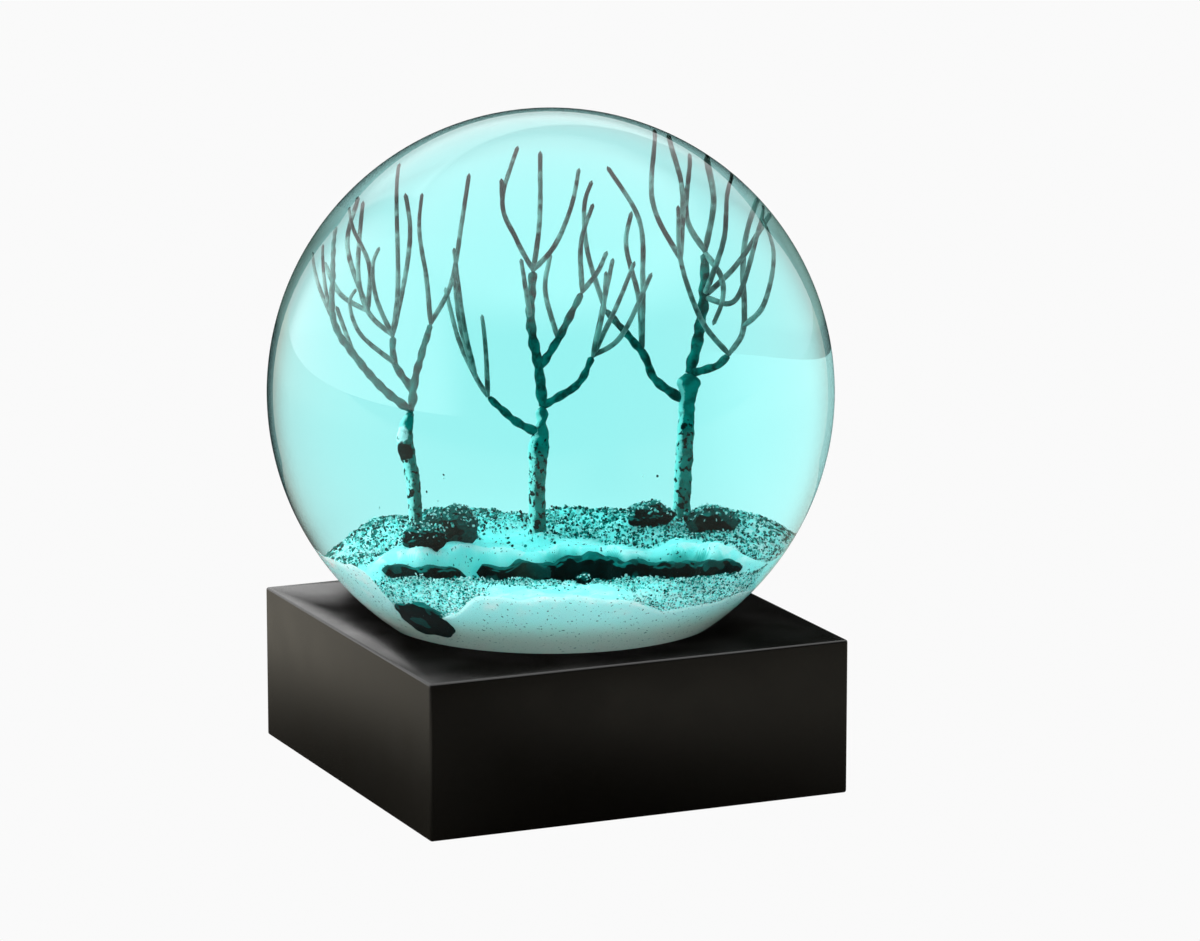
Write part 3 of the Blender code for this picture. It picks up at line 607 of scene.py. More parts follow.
def glass_look(name, ior, edge):
    """Clear glass, tinted at its edges, where the way through it is long."""
    look = new_look(name, Transmission_Weight=1.0, IOR=ior, Roughness=0.0)
    clear = mixed(look, grain(look, 0.1, 2), colour(0.985, 1, 1), colour(1, 1, 1))
    slant = node(look, "ShaderNodeLayerWeight", {"Blend": 0.5}).outputs["Facing"]
    feed(look, mixed(look, spread(look, slant, 0.58, 0.85), clear, edge), "Base Color")
    clear_for_lamps(look, colour(1, 1, 1))
    return look


def liquid_look():
    look = new_look("tinted_liquid", Transmission_Weight=1.0, IOR=1.0, Roughness=0.0)
    feed(look, mixed(look, grain(look, 0.05, 2), colour(0.92, 1, 1), colour(0.94, 1, 1)), "Base Color")
    clear_for_lamps(look, colour(0.8, 1, 1))
    inputs = {"Color": colour(0, 0.98, 0.963), "Density": 10.0}
    tint = node(look, "ShaderNodeVolumeAbsorption", inputs).outputs[0]
    look.node_tree.links.new(tint, look.node_tree.nodes["Material Output"].inputs["Volume"])
    return look


def distance_from(look, centre):
    """How far the surface is from a point, both in the row frame's millimetres."""
    inputs = {0: in_mm(look), 1: centre}
    return node(look, "ShaderNodeVectorMath", inputs, operation="DISTANCE").outputs["Value"]


def patch_at(look, place, reach):
    """1 at a place given in the scenery's millimetres, and 0 beyond reach from it, with a ragged edge."""
    apart = distance_from(look, tuple(to_frame([place])[0] / MM))
    ragged = math_node(look, "ADD", apart, grain(look, 1.2, 3))
    return spread(look, ragged, 0.35 + reach, 0.65 + reach, 1, 0)


def under_liquid(name, roughness, **more):
    """A look for what liquid wets: little gloss, in the colour of light that comes through the liquid."""
    return new_look(
        name,
        Roughness=roughness,
        Specular_IOR_Level=UNDER_LIQUID,
        Specular_Tint=colour(0.1, 1, 0.95),
        **more,
    )


def snow_look():
    """Cast snow: translucent, darker and greener low down as painted shade, with a painted highlight in white
    at the lip of the shelf and painted shade in deep green on the wall under it.
    """
    soft = {
        "Subsurface_Weight": 0.85,
        "Subsurface_Radius": (0.45, 1.0, 0.95),
        "Subsurface_Scale": 12 * MM,
    }
    look = under_liquid("cast_snow", 0.55, **soft)
    height, upward = part_of(look, "place", "Z"), part_of(look, "normal", "Z")
    # Painted shade: the bank grows darker and greener towards its foot.
    low, high = colour(0.42, 0.60, 0.55), colour(0.48, 0.97, 0.95)
    pale = mixed(look, spread(look, height, 31, 37.5), low, high)
    clouds = spread(look, grain(look, 0.25, 4), 0.45, 0.75)
    drifted = math_node(look, "MULTIPLY", clouds, spread(look, height, 36, 40, 0, 0.8))
    pale = mixed(look, drifted, pale, colour(0.88, 0.98, 0.97))
    from_centre = distance_from(look, (0, 0, GLOBE_CENTRE))
    inland = spread(look, from_centre, CASTING - 2, CASTING - 1, 1, 0)
    # Painted highlight: white where the lip's rounded edge turns from the top down to the wall, broken up by
    # noise.
    tilted, not_flat = spread(look, upward, 0.2, 0.4), spread(look, upward, 0.8, 0.93, 1, 0)
    painted_lip_highlight = math_node(look, "MULTIPLY", tilted, not_flat, spread(look, height, 45.5, 46.5), inland)
    broken = spread(look, grain(look, 0.3, 3), 0.46, 0.54)
    pale = mixed(look, math_node(look, "MULTIPLY", painted_lip_highlight, broken), pale, colour(1, 1, 1))
    # Painted shade: deep green on the steep wall under the lip, stronger to the right and away from the
    # glass.
    painted_wall_shade = math_node(look, "MULTIPLY", spread(look, upward, 0.15, 0.35, 1, 0), spread(look, height, 42, 43))
    on_right = spread(look, part_of(look, "place", "X"), -4, 1, 0.15, 1)
    pale = mixed(look, math_node(look, "MULTIPLY", painted_wall_shade, on_right, inland), pale, colour(0.0, 0.34, 0.31))
    grit = spread(look, grain(look, 2.2, 1), 0.69, 0.72)
    feed(look, mixed(look, grit, pale, colour(0.03, 0.09, 0.09)), "Base Color")
    bumped(look, grain(look, 2.0, 5), 0.12, 0.6)
    return look


def rock_look():
    """Painted rock: near-black, with a painted highlight in teal where it faces up, and a brown wash in
    patches.
    """
    look = under_liquid("painted_rock", 0.7)
    # Painted highlight: surfaces that face up, broken up by noise, turn lighter teal as if lit from above.
    upward = math_node(look, "ADD", part_of(look, "normal", "Z"), grain(look, 0.35, 5))
    facets = spread(look, upward, 0.95, 1.2)
    stone = mixed(look, facets, colour(0.0, 0.010, 0.010), colour(0.0, 0.17, 0.155))
    stone = mixed(look, spread(look, grain(look, 0.3, 1), 0.56, 0.59), stone, colour(0.0, 0.075, 0.07))
    wash = spread(look, grain(look, 0.13, 2), 0.6, 0.75)
    feed(look, mixed(look, wash, stone, colour(0.02, 0.028, 0.02)), "Base Color")
    bumped(look, grain(look, 1.8, 6), 0.25, 0.8)
    return look


def limb_look():
    """Painted wire: teal, with darker hollows, and paler towards the left."""
    look = under_liquid("teal_wire", 0.5)
    hollows = spread(look, grain(look, 0.9, 4), 0.35, 0.65)
    coat = mixed(look, hollows, colour(0.0, 0.05, 0.042), colour(0.0, 0.22, 0.19))
    # Paler towards the left: from X below -12 mm, fully so below -22 mm, the coat fades halfway to a pale
    # grey-teal.
    paler_to_left = spread(look, part_of(look, "place", "X"), -22, -12, 0.5, 0)
    feed(look, mixed(look, paler_to_left, coat, colour(0.25, 0.33, 0.30)), "Base Color")
    bumped(look, grain(look, 3.0, 4), 0.08, 0.6)
    return look


def twig_look():
    """Bare wire: a pale bloom over grey, and brown patches that grow towards the tips."""
    bloom = {"Sheen_Weight": 0.35, "Sheen_Roughness": 0.4, "Sheen_Tint": colour(0.8, 1, 0.97)}
    look = under_liquid("grey_wire", 0.35, **bloom)
    worn = spread(look, grain(look, 0.5, 3), 0.4, 0.6)
    grey = mixed(look, worn, colour(0.10, 0.13, 0.115), colour(0.30, 0.37, 0.34))
    high = spread(look, part_of(look, "place", "Z"), 78, 96, 0, 0.25)
    brown = spread(look, math_node(look, "ADD", grain(look, 0.35, 3), high), 0.58, 0.72)
    feed(look, mixed(look, brown, grey, colour(0.045, 0.035, 0.03)), "Base Color")
    bumped(look, grain(look, 3.5, 3), 0.05, 0.5)
    return look


def bark_look():
    """A mossy coat with black specks, painted pale as painted light on the side that faces left, with a bare
    and a snowy patch.
    """
    look = under_liquid("bark_coat", 0.7)
    # Painted light: the side that faces left, broken up by noise, is pale, as if lit from the left.
    patchy = math_node(look, "MULTIPLY", grain(look, 1.6, 4), 0.6)
    painted_left_light = spread(look, math_node(look, "ADD", part_of(look, "normal", "X"), patchy), -0.5, -0.25, 0.85, 0)
    moss = spread(look, grain(look, 0.7, 4), 0.35, 0.65)
    coat = mixed(look, moss, colour(0.0, 0.13, 0.11), colour(0.0, 0.27, 0.235))
    coat = mixed(look, painted_left_light, coat, colour(0.55, 0.88, 0.84))
    coat = mixed(look, patch_at(look, SNOW_PATCH, 1.2), coat, colour(1, 1, 1))
    specks = spread(look, grain(look, 1.5, 4), 0.545, 0.57)
    bare = math_node(look, "MAXIMUM", specks, patch_at(look, BARE_PATCH, 1.3))
    bare = math_node(look, "MULTIPLY", bare, spread(look, part_of(look, "place", "Z"), 62, 64.5, 1, 0))
    feed(look, mixed(look, bare, coat, colour(0.003, 0.014, 0.013)), "Base Color")
    bumped(look, grain(look, 2.4, 5), 0.15, 0.8)
    return look


def flake_look(name, dark, pale):
    look = under_liquid(name, 0.25)
    mottled(look, 1.5, 1, dark, pale)
    bumped(look, grain(look, 9, 1), 0.02, 0.5)
    return look


def felt_look():
    look = new_look("black_felt", Roughness=0.95, Sheen_Weight=0.4)
    mottled(look, 2.5, 6, (0.006, 0.006, 0.006), (0.03, 0.03, 0.03))
    bumped(look, grain(look, 5, 5), 0.2, 0.8)
    return look


def board_look():
    """Raw board, with its grain along X."""
    look = new_look("raw_board", Roughness=0.8)
    lines = grain(look, 0.8, 6, stretch=(0.06, 1, 1))
    feed(look, mixed(look, lines, colour(0.16, 0.10, 0.05), colour(0.42, 0.31, 0.19)), "Base Color")
    bumped(look, lines, 0.08, 0.6)
    return look


def steel_look():
    look = new_look("zinc_steel", Metallic=1.0)
    mottled(look, 0.9, 4, (0.45, 0.45, 0.43), (0.7, 0.7, 0.69))
    feed(look, spread(look, grain(look, 2.0, 5), 0.3, 0.7, 0.25, 0.5), "Roughness")
    bumped(look, grain(look, 4, 3), 0.02, 0.5)
    return look


def rubber_look():
    look = new_look("bung_rubber", Roughness=0.75)
    mottled(look, 0.6, 5, (0.012, 0.012, 0.012), (0.04, 0.04, 0.038))
    bumped(look, grain(look, 3, 4), 0.05, 0.5)
    return look


def silicone_look():
    look = new_look("silicone", Roughness=0.4)
    mottled(look, 0.4, 4, (0.62, 0.63, 0.61), (0.82, 0.83, 0.82))
    bumped(look, grain(look, 0.8, 3), 0.15, 0.6)
    return look


# The base and the ball


def eased_box():
    """The base's outside, with its edges eased, as an object."""
    bm = bmesh.new()
    bmesh.ops.create_cube(bm, size=1)
    bmesh.ops.scale(bm, vec=(BASE_SIDE, BASE_SIDE, BASE_TOP - BASE_FOOT), verts=bm.verts)
    bmesh.ops.translate(bm, vec=(0, 0, (BASE_TOP + BASE_FOOT) / 2), verts=bm.verts)
    bmesh.ops.bevel(bm, geom=bm.edges[:], offset=EASED_EDGE, segments=4, affect="EDGES", profile=0.5)
    bmesh.ops.scale(bm, vec=(MM, MM, MM), verts=bm.verts)
    mesh = bpy.data.meshes.new("lacquered_base")
    bm.to_mesh(mesh)
    bm.free()
    return linked("lacquered_base", mesh)


def base_hollow():
    """The space inside the base, open at its foot, as a mesh to cut with."""
    inner = BASE_SIDE / 2 - BOARD
    foot = BASE_FOOT - 1
    plan = [(x * inner, y * inner) for x, y in ((-1, -1), (1, -1), (1, 1), (-1, 1))]
    rings = [[(x, y, height) for x, y in plan] for height in (foot, PANEL_TOP)]
    return mesh_of("hollow", skin(rings, (0, 0, foot), (0, 0, PANEL_TOP)), upright)


def ball_seat():
    """The dish in the base's top, as a ball to cut with."""
    reach = OUTER + SEAT_GAP
    outline = arc(reach, math.radians(1), math.radians(179), SEAT_RINGS)
    rings = [circle(radius, height, SEAT_TURNS) for radius, height in outline]
    ends = (0, 0, GLOBE_CENTRE + reach), (0, 0, GLOBE_CENTRE - reach)
    return mesh_of("seat", skin(rings, *ends), upright)


def carved(obj, cutters):
    """obj's mesh with the cutting meshes taken out of it."""
    made = []
    for mesh in cutters:
        cutter = linked("cutter", mesh)
        change = obj.modifiers.new("Boolean", "BOOLEAN")
        change.object = cutter
        change.operation = "DIFFERENCE"
        change.solver = "EXACT"
        made.append(cutter)
    graph = bpy.context.evaluated_depsgraph_get()
    mesh = bpy.data.meshes.new_from_object(obj.evaluated_get(graph))
    for cutter in made:
        bpy.data.objects.remove(cutter, do_unlink=True)
    return mesh


def lacquered_base(look):
    """The box as it looks once lacquered: one shell, its edges eased, with a seat for the ball."""
    box = eased_box()
    mesh = carved(box, [base_hollow(), ball_seat()])
    bpy.data.objects.remove(box, do_unlink=True)
    mesh.shade_smooth()
    mesh.set_sharp_from_angle(angle=math.radians(40))
    mesh.materials.clear()
    panels = [f"{side}_panel" for side in ("front", "right", "back", "left")]
    return add("lacquered_base", mesh, [look], [*panels, "top_board"])


def glass_ball(outer_look, inner_look):
    """The ball and its neck. Its inner faces take a look of their own, as they meet the liquid."""
    bore = NECK_RADIUS - NECK_WALL
    neck_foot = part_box("glass_globe")[0].z / MM
    top = math.radians(0.3)
    outside = arc(OUTER, top, math.pi - math.asin(NECK_RADIUS / OUTER), BALL_RINGS)
    inside = arc(INNER, math.pi - math.asin(bore / INNER), top, BALL_RINGS)
    outline = outside + [(NECK_RADIUS, neck_foot), (bore, neck_foot)] + inside
    rings = [circle(radius, height, BALL_TURNS) for radius, height in outline]
    shape = skin(rings, (0, 0, GLOBE_CENTRE + OUTER), (0, 0, GLOBE_CENTRE + INNER))
    mesh = mesh_of("glass_ball", shape, upright)
    centre = Vector((0, 0, GLOBE_CENTRE))
    for face in mesh.polygons:
        face.material_index = int((face.center / MM - centre).length < (INNER + OUTER) / 2)
    add("glass_ball", mesh, [outer_look, inner_look], ["glass_globe"])


# Inside the ball


def landscape(look):
    top = snow_rings(0, SNOW_RINGS, SNOW_TURNS)
    foot = math.pi - math.asin(ball_radius(CASTING_FOOT) / CASTING)
    under = ball_rings(top[-1], foot, CASTING_UNDERSIDE_RINGS)
    shape = skin(top + under, (0, 0, rough_snow(0, 0)), (0, 0, CASTING_FOOT))
    return add("snow_casting", mesh_of("snow_casting", shape), [look], ["landscape"])


def liquid(look):
    under = snow_rings(LIQUID_LIFT, LIQUID_RINGS, LIQUID_TURNS)
    over = ball_rings(under[-1], math.radians(1), LIQUID_RINGS)
    shape = skin(under + over, (0, 0, rough_snow(0, 0) + LIQUID_LIFT), (0, 0, GLOBE_CENTRE + CASTING))
    add("liquid_body", mesh_of("liquid_body", shape), [look], ["liquid_fill"])


def on_rock(centre, half_sizes, toward, stretch=1.0):
    """The place on a rough rock's surface in a direction from its middle."""
    rough = 1 + craggy(0.8 * toward + 1.4 * Vector(centre))
    return [c + t * half * rough * stretch for c, t, half in zip(centre, toward, half_sizes)]


def rock(name, centre, half_sizes, look):
    """A rough rock, cut off where it would pass through the ball."""
    bm = bmesh.new()
    bmesh.ops.create_icosphere(bm, subdivisions=6, radius=1)
    globe_middle = Vector((0, 0, GLOBE_CENTRE))
    for vert in bm.verts:
        vert.co = on_rock(centre, half_sizes, vert.co)
        from_middle = vert.co - globe_middle
        if from_middle.length > CASTING:
            vert.co = globe_middle + from_middle.normalized() * CASTING
    points = [tuple(vert.co) for vert in bm.verts]
    faces = [tuple(vert.index for vert in face.verts) for face in bm.faces]
    bm.free()
    add(f"{name}_stone", mesh_of(name, (points, faces)), [look], [name])


def squared(share):
    """Takes a circle's cosine or sine to that of a rounder square."""
    return math.copysign(abs(share) ** 0.65, share)


def ledge(name, reach, heights, look):
    """A craggy band of rock that follows the snow's lip, with a hump in the middle of the long one."""
    foot, top = heights
    rings = []
    for n in range(LEDGE_RINGS + 1):
        across = reach[0] + (reach[1] - reach[0]) * n / LEDGE_RINGS
        taper = math.sin(math.pi * (0.1 + 0.8 * n / LEDGE_RINGS)) ** 0.5
        hump = 0.26 * ease(0.3, 2.8, across) * (1 - ease(6, 9.5, across))
        share = 0.84 + hump + 0.06 * swell(across, -3, 3) + 0.2 * noise.noise(Vector((0.4 * across, 3, 0)))
        half_height = (top - foot) / 2 * share
        middle = foot + half_height
        ring = []
        for k in range(LEDGE_TURNS):
            angle = math.tau * k / LEDGE_TURNS
            place = Vector((0.5 * across, math.cos(angle), math.sin(angle)))
            crag = 0.22 * noise.noise(0.8 * place) + 0.6 * craggy(0.9 * place)
            forward, upward = squared(math.cos(angle)), squared(math.sin(angle))
            depth = lip(across) - 0.7 + 2.3 * taper * (1 + crag) * forward
            height = middle + half_height * taper * (1 + crag) * upward
            ring.append((across, depth, height))
        rings.append(ring)
    ends = []
    for ring, outward in ((rings[0], -0.8), (rings[-1], 0.8)):
        centre = sum((Vector(point) for point in ring), Vector()) / LEDGE_TURNS
        ends.append(centre + Vector((outward, 0, 0)))
    add(f"{name}_stone", mesh_of(name, skin(rings, *ends)), [look], [name])


def boulder_centre(name):
    place, half_sizes, sink = BOULDERS[name]
    return (*place, terrain(*place) + half_sizes[2] * (1 - sink))


def rocks(look):
    for name, (reach, heights) in LEDGES.items():
        ledge(name, reach, heights, look)
    for name, (_, half_sizes, _) in BOULDERS.items():
        rock(name, boulder_centre(name), half_sizes, look)
    rock("corner_rock", *CORNER_ROCK, look)


def wire_shape(radii, points):
    """A wire that leaves its parent smoothly and ends in a round tip. Thick wires are twisted pairs."""
    path = smooth_path(points, 0.4)
    length = sum((b - a).length for a, b in zip(path, path[1:]))
    first, last = radii
    twisted = 0.0 if radii is TWIG else 0.13
    knobbly = 0.12 if radii is TWIG else 0.22

    def radius_at(share, angle, outward, place):
        along = share * length
        radius = first + (last - first) * share
        lump = 1 + knobbly * noise.noise(0.9 * place + 0.4 * outward)
        ridges = 1 + twisted * math.cos(2 * angle - math.tau * along / TWIST)
        root = 0.7 + 0.3 * ease(0, 1.2, along)
        tip = math.sqrt(max(0.02, 1 - (1 - min((length - along) / radius, 1)) ** 2))
        return radius * lump * ridges * root * tip

    return tube(path, radius_at, WIRE_TURNS)


def tree_wires(name, tree, looks):
    """A tree's wires: the looks are for the thick ones and the thin ones."""
    shapes, kinds = [], []
    for n, (radii, points) in enumerate(tree):
        sunk = [(points[0][0], points[0][1], points[0][2] - WIRE_SINK)] if n == 0 else []
        shape = wire_shape(radii, sunk + points)
        shapes.append(shape)
        kinds += [int(radii is TWIG)] * len(shape[1])
    wires = f"{name}_tree_wires"
    mesh = mesh_of(wires, joined(shapes))
    mesh.polygons.foreach_set("material_index", kinds)
    add(f"{name}_branches", mesh, looks, [wires])


def tree_bark(name, tree, look):
    """The coat over a tree's trunk, which narrows above the forks to a twisted stem."""
    foot, *rest = tree[0][1]
    path = smooth_path([(foot[0], foot[1], foot[2] - COAT_SINK), *rest], 0.25)
    first, last, narrows = COATS[name]
    knot, thicker, half_length = KNOTS[name]

    def radius_at(share, angle, outward, place):
        stem = ease(narrows - 0.7, narrows + 0.7, place.z)
        radius = first + (last - first) * share + thicker * swell(place.z, knot, half_length)
        radius += (STEM_RADIUS - radius) * stem
        twisted = math.cos(2 * angle - math.tau * place.z / TWIST)
        ridges = 0.1 * ease(narrows - 4, narrows, place.z) * twisted
        lump = 0.14 * noise.noise(0.8 * place + 0.5 * outward) + 0.1 * noise.noise(2.6 * place + outward)
        ends = math.sqrt(max(0.15, 1 - (1 - min(min(share, 1 - share) * 16, 1)) ** 2))
        return (radius + ridges + lump * (1 - 0.5 * stem)) * ends

    coat = f"{name}_tree_bark"
    mesh = mesh_of(coat, tube(path, radius_at, BARK_TURNS))
    add(f"{name}_trunk", mesh, [look], [coat])


def flake_shape(centre, size, rng):
    """A thin plate with uneven corners, lying any way up."""
    turn = Vector(rng.normal(size=3)).normalized()
    side = turn.orthogonal().normalized()
    other = turn.cross(side)
    spin = rng.uniform(0, math.tau)
    rim = []
    for k in range(FLAKE_CORNERS):
        angle = spin + math.tau * k / FLAKE_CORNERS
        reach = size * rng.uniform(0.7, 1.1)
        rim.append(Vector(centre) + reach * (math.cos(angle) * side + math.sin(angle) * other))
    tips = [Vector(centre) + 0.3 * size * turn, Vector(centre) - 0.3 * size * turn]
    faces = []
    for k in range(FLAKE_CORNERS):
        after = (k + 1) % FLAKE_CORNERS
        faces.append((k, after, FLAKE_CORNERS))
        faces.append((after, k, FLAKE_CORNERS + 1))
    return [tuple(point) for point in rim + tips], faces


def flake_piece(name, drifts, looks, rng, replaced, body="globe"):
    """Flakes in one piece. Each drift is its places and the shares of its tints."""
    shapes, tints = [], []
    for places, shares in drifts:
        shapes += [flake_shape(place, rng.uniform(*FLAKE_RADII), rng) for place in places]
        tints += list(rng.choice(len(looks), size=len(places), p=shares))
    mesh = mesh_of(name, joined(shapes))
    mesh.shade_flat()
    mesh.polygons.foreach_set("material_index", np.repeat(tints, 2 * FLAKE_CORNERS))
    add(name, mesh, looks, replaced, body)


def scattered(rng, count, across, depth, keep):
    """Places just over the snow, within bounds, each kept with the chance that keep gives."""
    places = []
    while len(places) < count:
        a, d = rng.uniform(*across), rng.uniform(*depth)
        height = rough_snow(a, d) + rng.uniform(0.08, 0.3)
        if math.hypot(a, d) < ball_radius(height) - 0.4 and rng.random() < keep(a, d):
            places.append((a, d, height))
    return places


def on_shelf(across, depth):
    """The chance of a flake staying on the low shelf in front of the rock."""
    near_rock = ease(-30, -8, depth)
    gully = ease(-28, -24, across) * (1 - ease(-14, -8, across))
    on_it = 1 - ease(-1.6, -0.8, depth - lip(across))
    return on_it * max(near_rock, gully, 0.8 * ease(10, 20, across)) * ease(-29, -26, across)


def on_ground(across, depth):
    """The chance of a flake staying on the ground behind the lip: most towards the back and the right."""
    past_lip = depth - lip(across)
    sides = max(ease(-4, 3, across), 1 - ease(-12, -7, across), ease(8, 12, past_lip))
    on_right = ease(1, 4, past_lip) * ease(5, 11, across)
    return max(ease(3, 7, past_lip) * sides, on_right, 0.08 * ease(1, 3, past_lip))


def on_boulder(rng, count, name):
    """Places on the upper side of a loose rock."""
    _, half_sizes, _ = BOULDERS[name]
    centre = boulder_centre(name)
    places = []
    while len(places) < count:
        toward = Vector(rng.normal(size=3)).normalized()
        if toward.z < 0.1 or rng.random() > 0.35 + 0.65 * toward.z:
            continue
        places.append(on_rock(centre, half_sizes, toward, 1.03))
    return places


def adrift(rng):
    """Places of the few flakes that hang in the liquid, low over the ground."""
    places = []
    for across, depth, height in DRIFTING:
        beside = (across + rng.normal(0, 1.2), depth + 2, height + rng.normal(0, 1.2))
        places += [(across, depth, height), beside]
    return places


def settled_flakes(looks):
    rng = np.random.default_rng(SEED)
    shelf = scattered(rng, SHELF_FLAKES, (-29, 32), (-36, 0), on_shelf)
    ground = scattered(rng, GROUND_FLAKES, (-28, 34), (-8, 34), on_ground)
    # Painted shade: flakes close in front of the rock's lip take the darker mix.
    under_rock = [place for place in shelf if place[1] - lip(place[0]) > -5]
    open_shelf = [place for place in shelf if place[1] - lip(place[0]) <= -5]
    heaped = [place for name in BOULDERS for place in on_boulder(rng, BOULDER_FLAKES[name], name)]
    drifts = [(places, SHELF_TINTS) for places in (open_shelf, heaped)]
    drifts += [(places, SHADED_TINTS) for places in (under_rock, ground, adrift(rng))]
    flake_piece("flake_drifts", drifts, looks, rng, ["settled_flakes"])


def loose_flakes(looks):
    rng = np.random.default_rng(SEED + 1)
    for n, (across, depth) in enumerate(LOOSE_PATCHES, start=1):
        places = []
        for _ in range(PATCH_FLAKES):
            a, d = rng.normal(across, 1.6), rng.normal(depth, 1.2)
            places.append((a, d, rough_snow(a, d) + rng.uniform(0.3, 0.8)))
        drifts = [(places, SHELF_TINTS)]
        flake_piece(f"flakes_{n}", drifts, looks, rng, [f"loose_flake_{n}"], f"flake_{n}")


# The studio


def camera():
    side = BASE_SIDE * MM
    distance = CAMERA_DISTANCE * side
    elevation, bearing = math.radians(CAMERA_ELEVATION), math.radians(CAMERA_BEARING)
    pan, pitch = math.radians(CAMERA_PAN), math.radians(CAMERA_PITCH)
    data = bpy.data.cameras.new("camera")
    data.lens = CAMERA_LENS
    data.sensor_width = 36
    data.clip_start = 0.05
    obj = linked("camera", data)
    flat = distance * math.cos(elevation)
    height = CAMERA_AIM_HEIGHT * side + distance * math.sin(elevation)
    obj.location = (-flat * math.sin(bearing), -flat * math.cos(bearing), height)
    obj.rotation_euler = (math.pi / 2 - pitch, 0, -bearing - pan)
    bpy.context.scene.camera = obj


def lighting(tree):
    """1 for rays that gather the light on a dull surface, and 0 for those that the camera sees by."""
    depth = node(tree, "ShaderNodeLightPath").outputs["Diffuse Depth"]
    return math_node(tree, "GREATER_THAN", depth, 0.5)


def seen_directly(tree):
    """1 for what the camera sees, straight or through clear things, and 0 for other rays."""
    path = node(tree, "ShaderNodeLightPath").outputs
    through = math_node(tree, "SUBTRACT", path["Is Transmission Ray"], lighting(tree))
    return math_node(tree, "MAXIMUM", path["Is Camera Ray"], through)


def towards(tree, direction, low, high, to_low, to_high):
    """A brightness that changes with how near a ray points to a direction."""
    ray = node(tree, "ShaderNodeTexCoord").outputs["Generated"]
    aim = Vector(direction).normalized()
    facing = node(tree, "ShaderNodeVectorMath", {0: ray, 1: aim}, operation="DOT_PRODUCT")
    return spread(tree, facing.outputs["Value"], low, high, to_low, to_high)


def gloss_room(world):
    """What gloss reflects: a white room, brighter above and on the left, with a window high on the left."""
    walls = math_node(
        world,
        "ADD",
        towards(world, AHEAD, -0.5, 0.3, 0.03, 0.55),
        towards(world, AHEAD, 0.3, 0.95, 0, 0.35),
    )
    above = towards(world, UP, 0.5, 0.8, 0, 1.8)
    on_left = towards(world, -RIGHT, 0.5, 0.75, 0, 1.8)
    window = math_node(
        world,
        "MULTIPLY",
        towards(world, UP + 0.78 * RIGHT - 0.66 * AHEAD, -0.04, 0.0, 1.0, 0),
        towards(world, -RIGHT, 0.52, 0.56, 1.0, 0),
        towards(world, UP, 0.25, 0.4, 0, 0.8),
    )
    return math_node(world, "ADD", math_node(world, "MAXIMUM", walls, above, on_left), window)


def eye_room(world):
    """What the eye sees through clear things: a white backdrop that grows darker to the sides."""
    behind = towards(world, AHEAD, 0.35, 0.72, 0.4, 1.0)
    below = towards(world, (0, 0, -1), 0.4, 0.75, 0.0, 0.95)
    on_left = towards(world, (-1, 0, 0), 0.3, 0.6, 0.0, 0.65)
    return math_node(world, "MAXIMUM", behind, below, on_left)


def dull_room(world):
    """What lights dull surfaces: mostly the backdrop, and some from the left."""
    return math_node(
        world,
        "ADD",
        towards(world, AHEAD, -0.6, 0.7, 0.3, 1.4),
        towards(world, (-0.9, 0.3, 0.4), 0.2, 0.9, 0.0, 0.8),
    )


def studio():
    """The surroundings: a plain white backdrop, and a room of its own for each kind of ray."""
    world = bpy.data.worlds.new("studio")
    bpy.context.scene.world = world
    world.use_nodes = True
    is_camera = node(world, "ShaderNodeLightPath").outputs["Is Camera Ray"]
    brightness = gloss_room(world)
    for share, value in (
        (lighting(world), dull_room(world)),
        (seen_directly(world), eye_room(world)),
        (is_camera, BACKDROP_WHITE),
    ):
        inputs = {0: share, 2: brightness, 3: value}
        brightness = node(world, "ShaderNodeMix", inputs, data_type="FLOAT").outputs[0]
    background = world.node_tree.nodes["Background"]
    background.inputs["Color"].default_value = colour(1, 1, 1)
    world.node_tree.links.new(brightness, background.inputs["Strength"])


def floor_glow(look):
    """How bright gloss sees the floor: darker by the base, before its middle, to the right and in front."""
    place = node(look, "ShaderNodeTexCoord").outputs["Object"]
    away = node(look, "ShaderNodeVectorMath", {0: place}, operation="LENGTH").outputs["Value"]
    reach = math_node(
        look,
        "ADD",
        spread(look, away, 0.03, 0.15, 0.05, 0.55),
        spread(look, away, 0.25, 0.8, 0, 0.35),
    )
    across = node(look, "ShaderNodeSeparateXYZ", {0: place}).outputs["X"]
    to_right = spread(look, across, -0.1, 0.1, 1.0, 0.6)
    off_middle = math_node(look, "ABSOLUTE", math_node(look, "ADD", across, 0.012), 0)
    beside = spread(look, off_middle, 0, 0.06, 0.22, 1.0)
    inputs = {0: place, 1: AHEAD}
    along = node(look, "ShaderNodeVectorMath", inputs, operation="DOT_PRODUCT").outputs["Value"]
    from_camera = spread(look, along, -0.42, -0.2, 0.04, 1)
    return math_node(look, "MULTIPLY", reach, to_right, beside, from_camera)


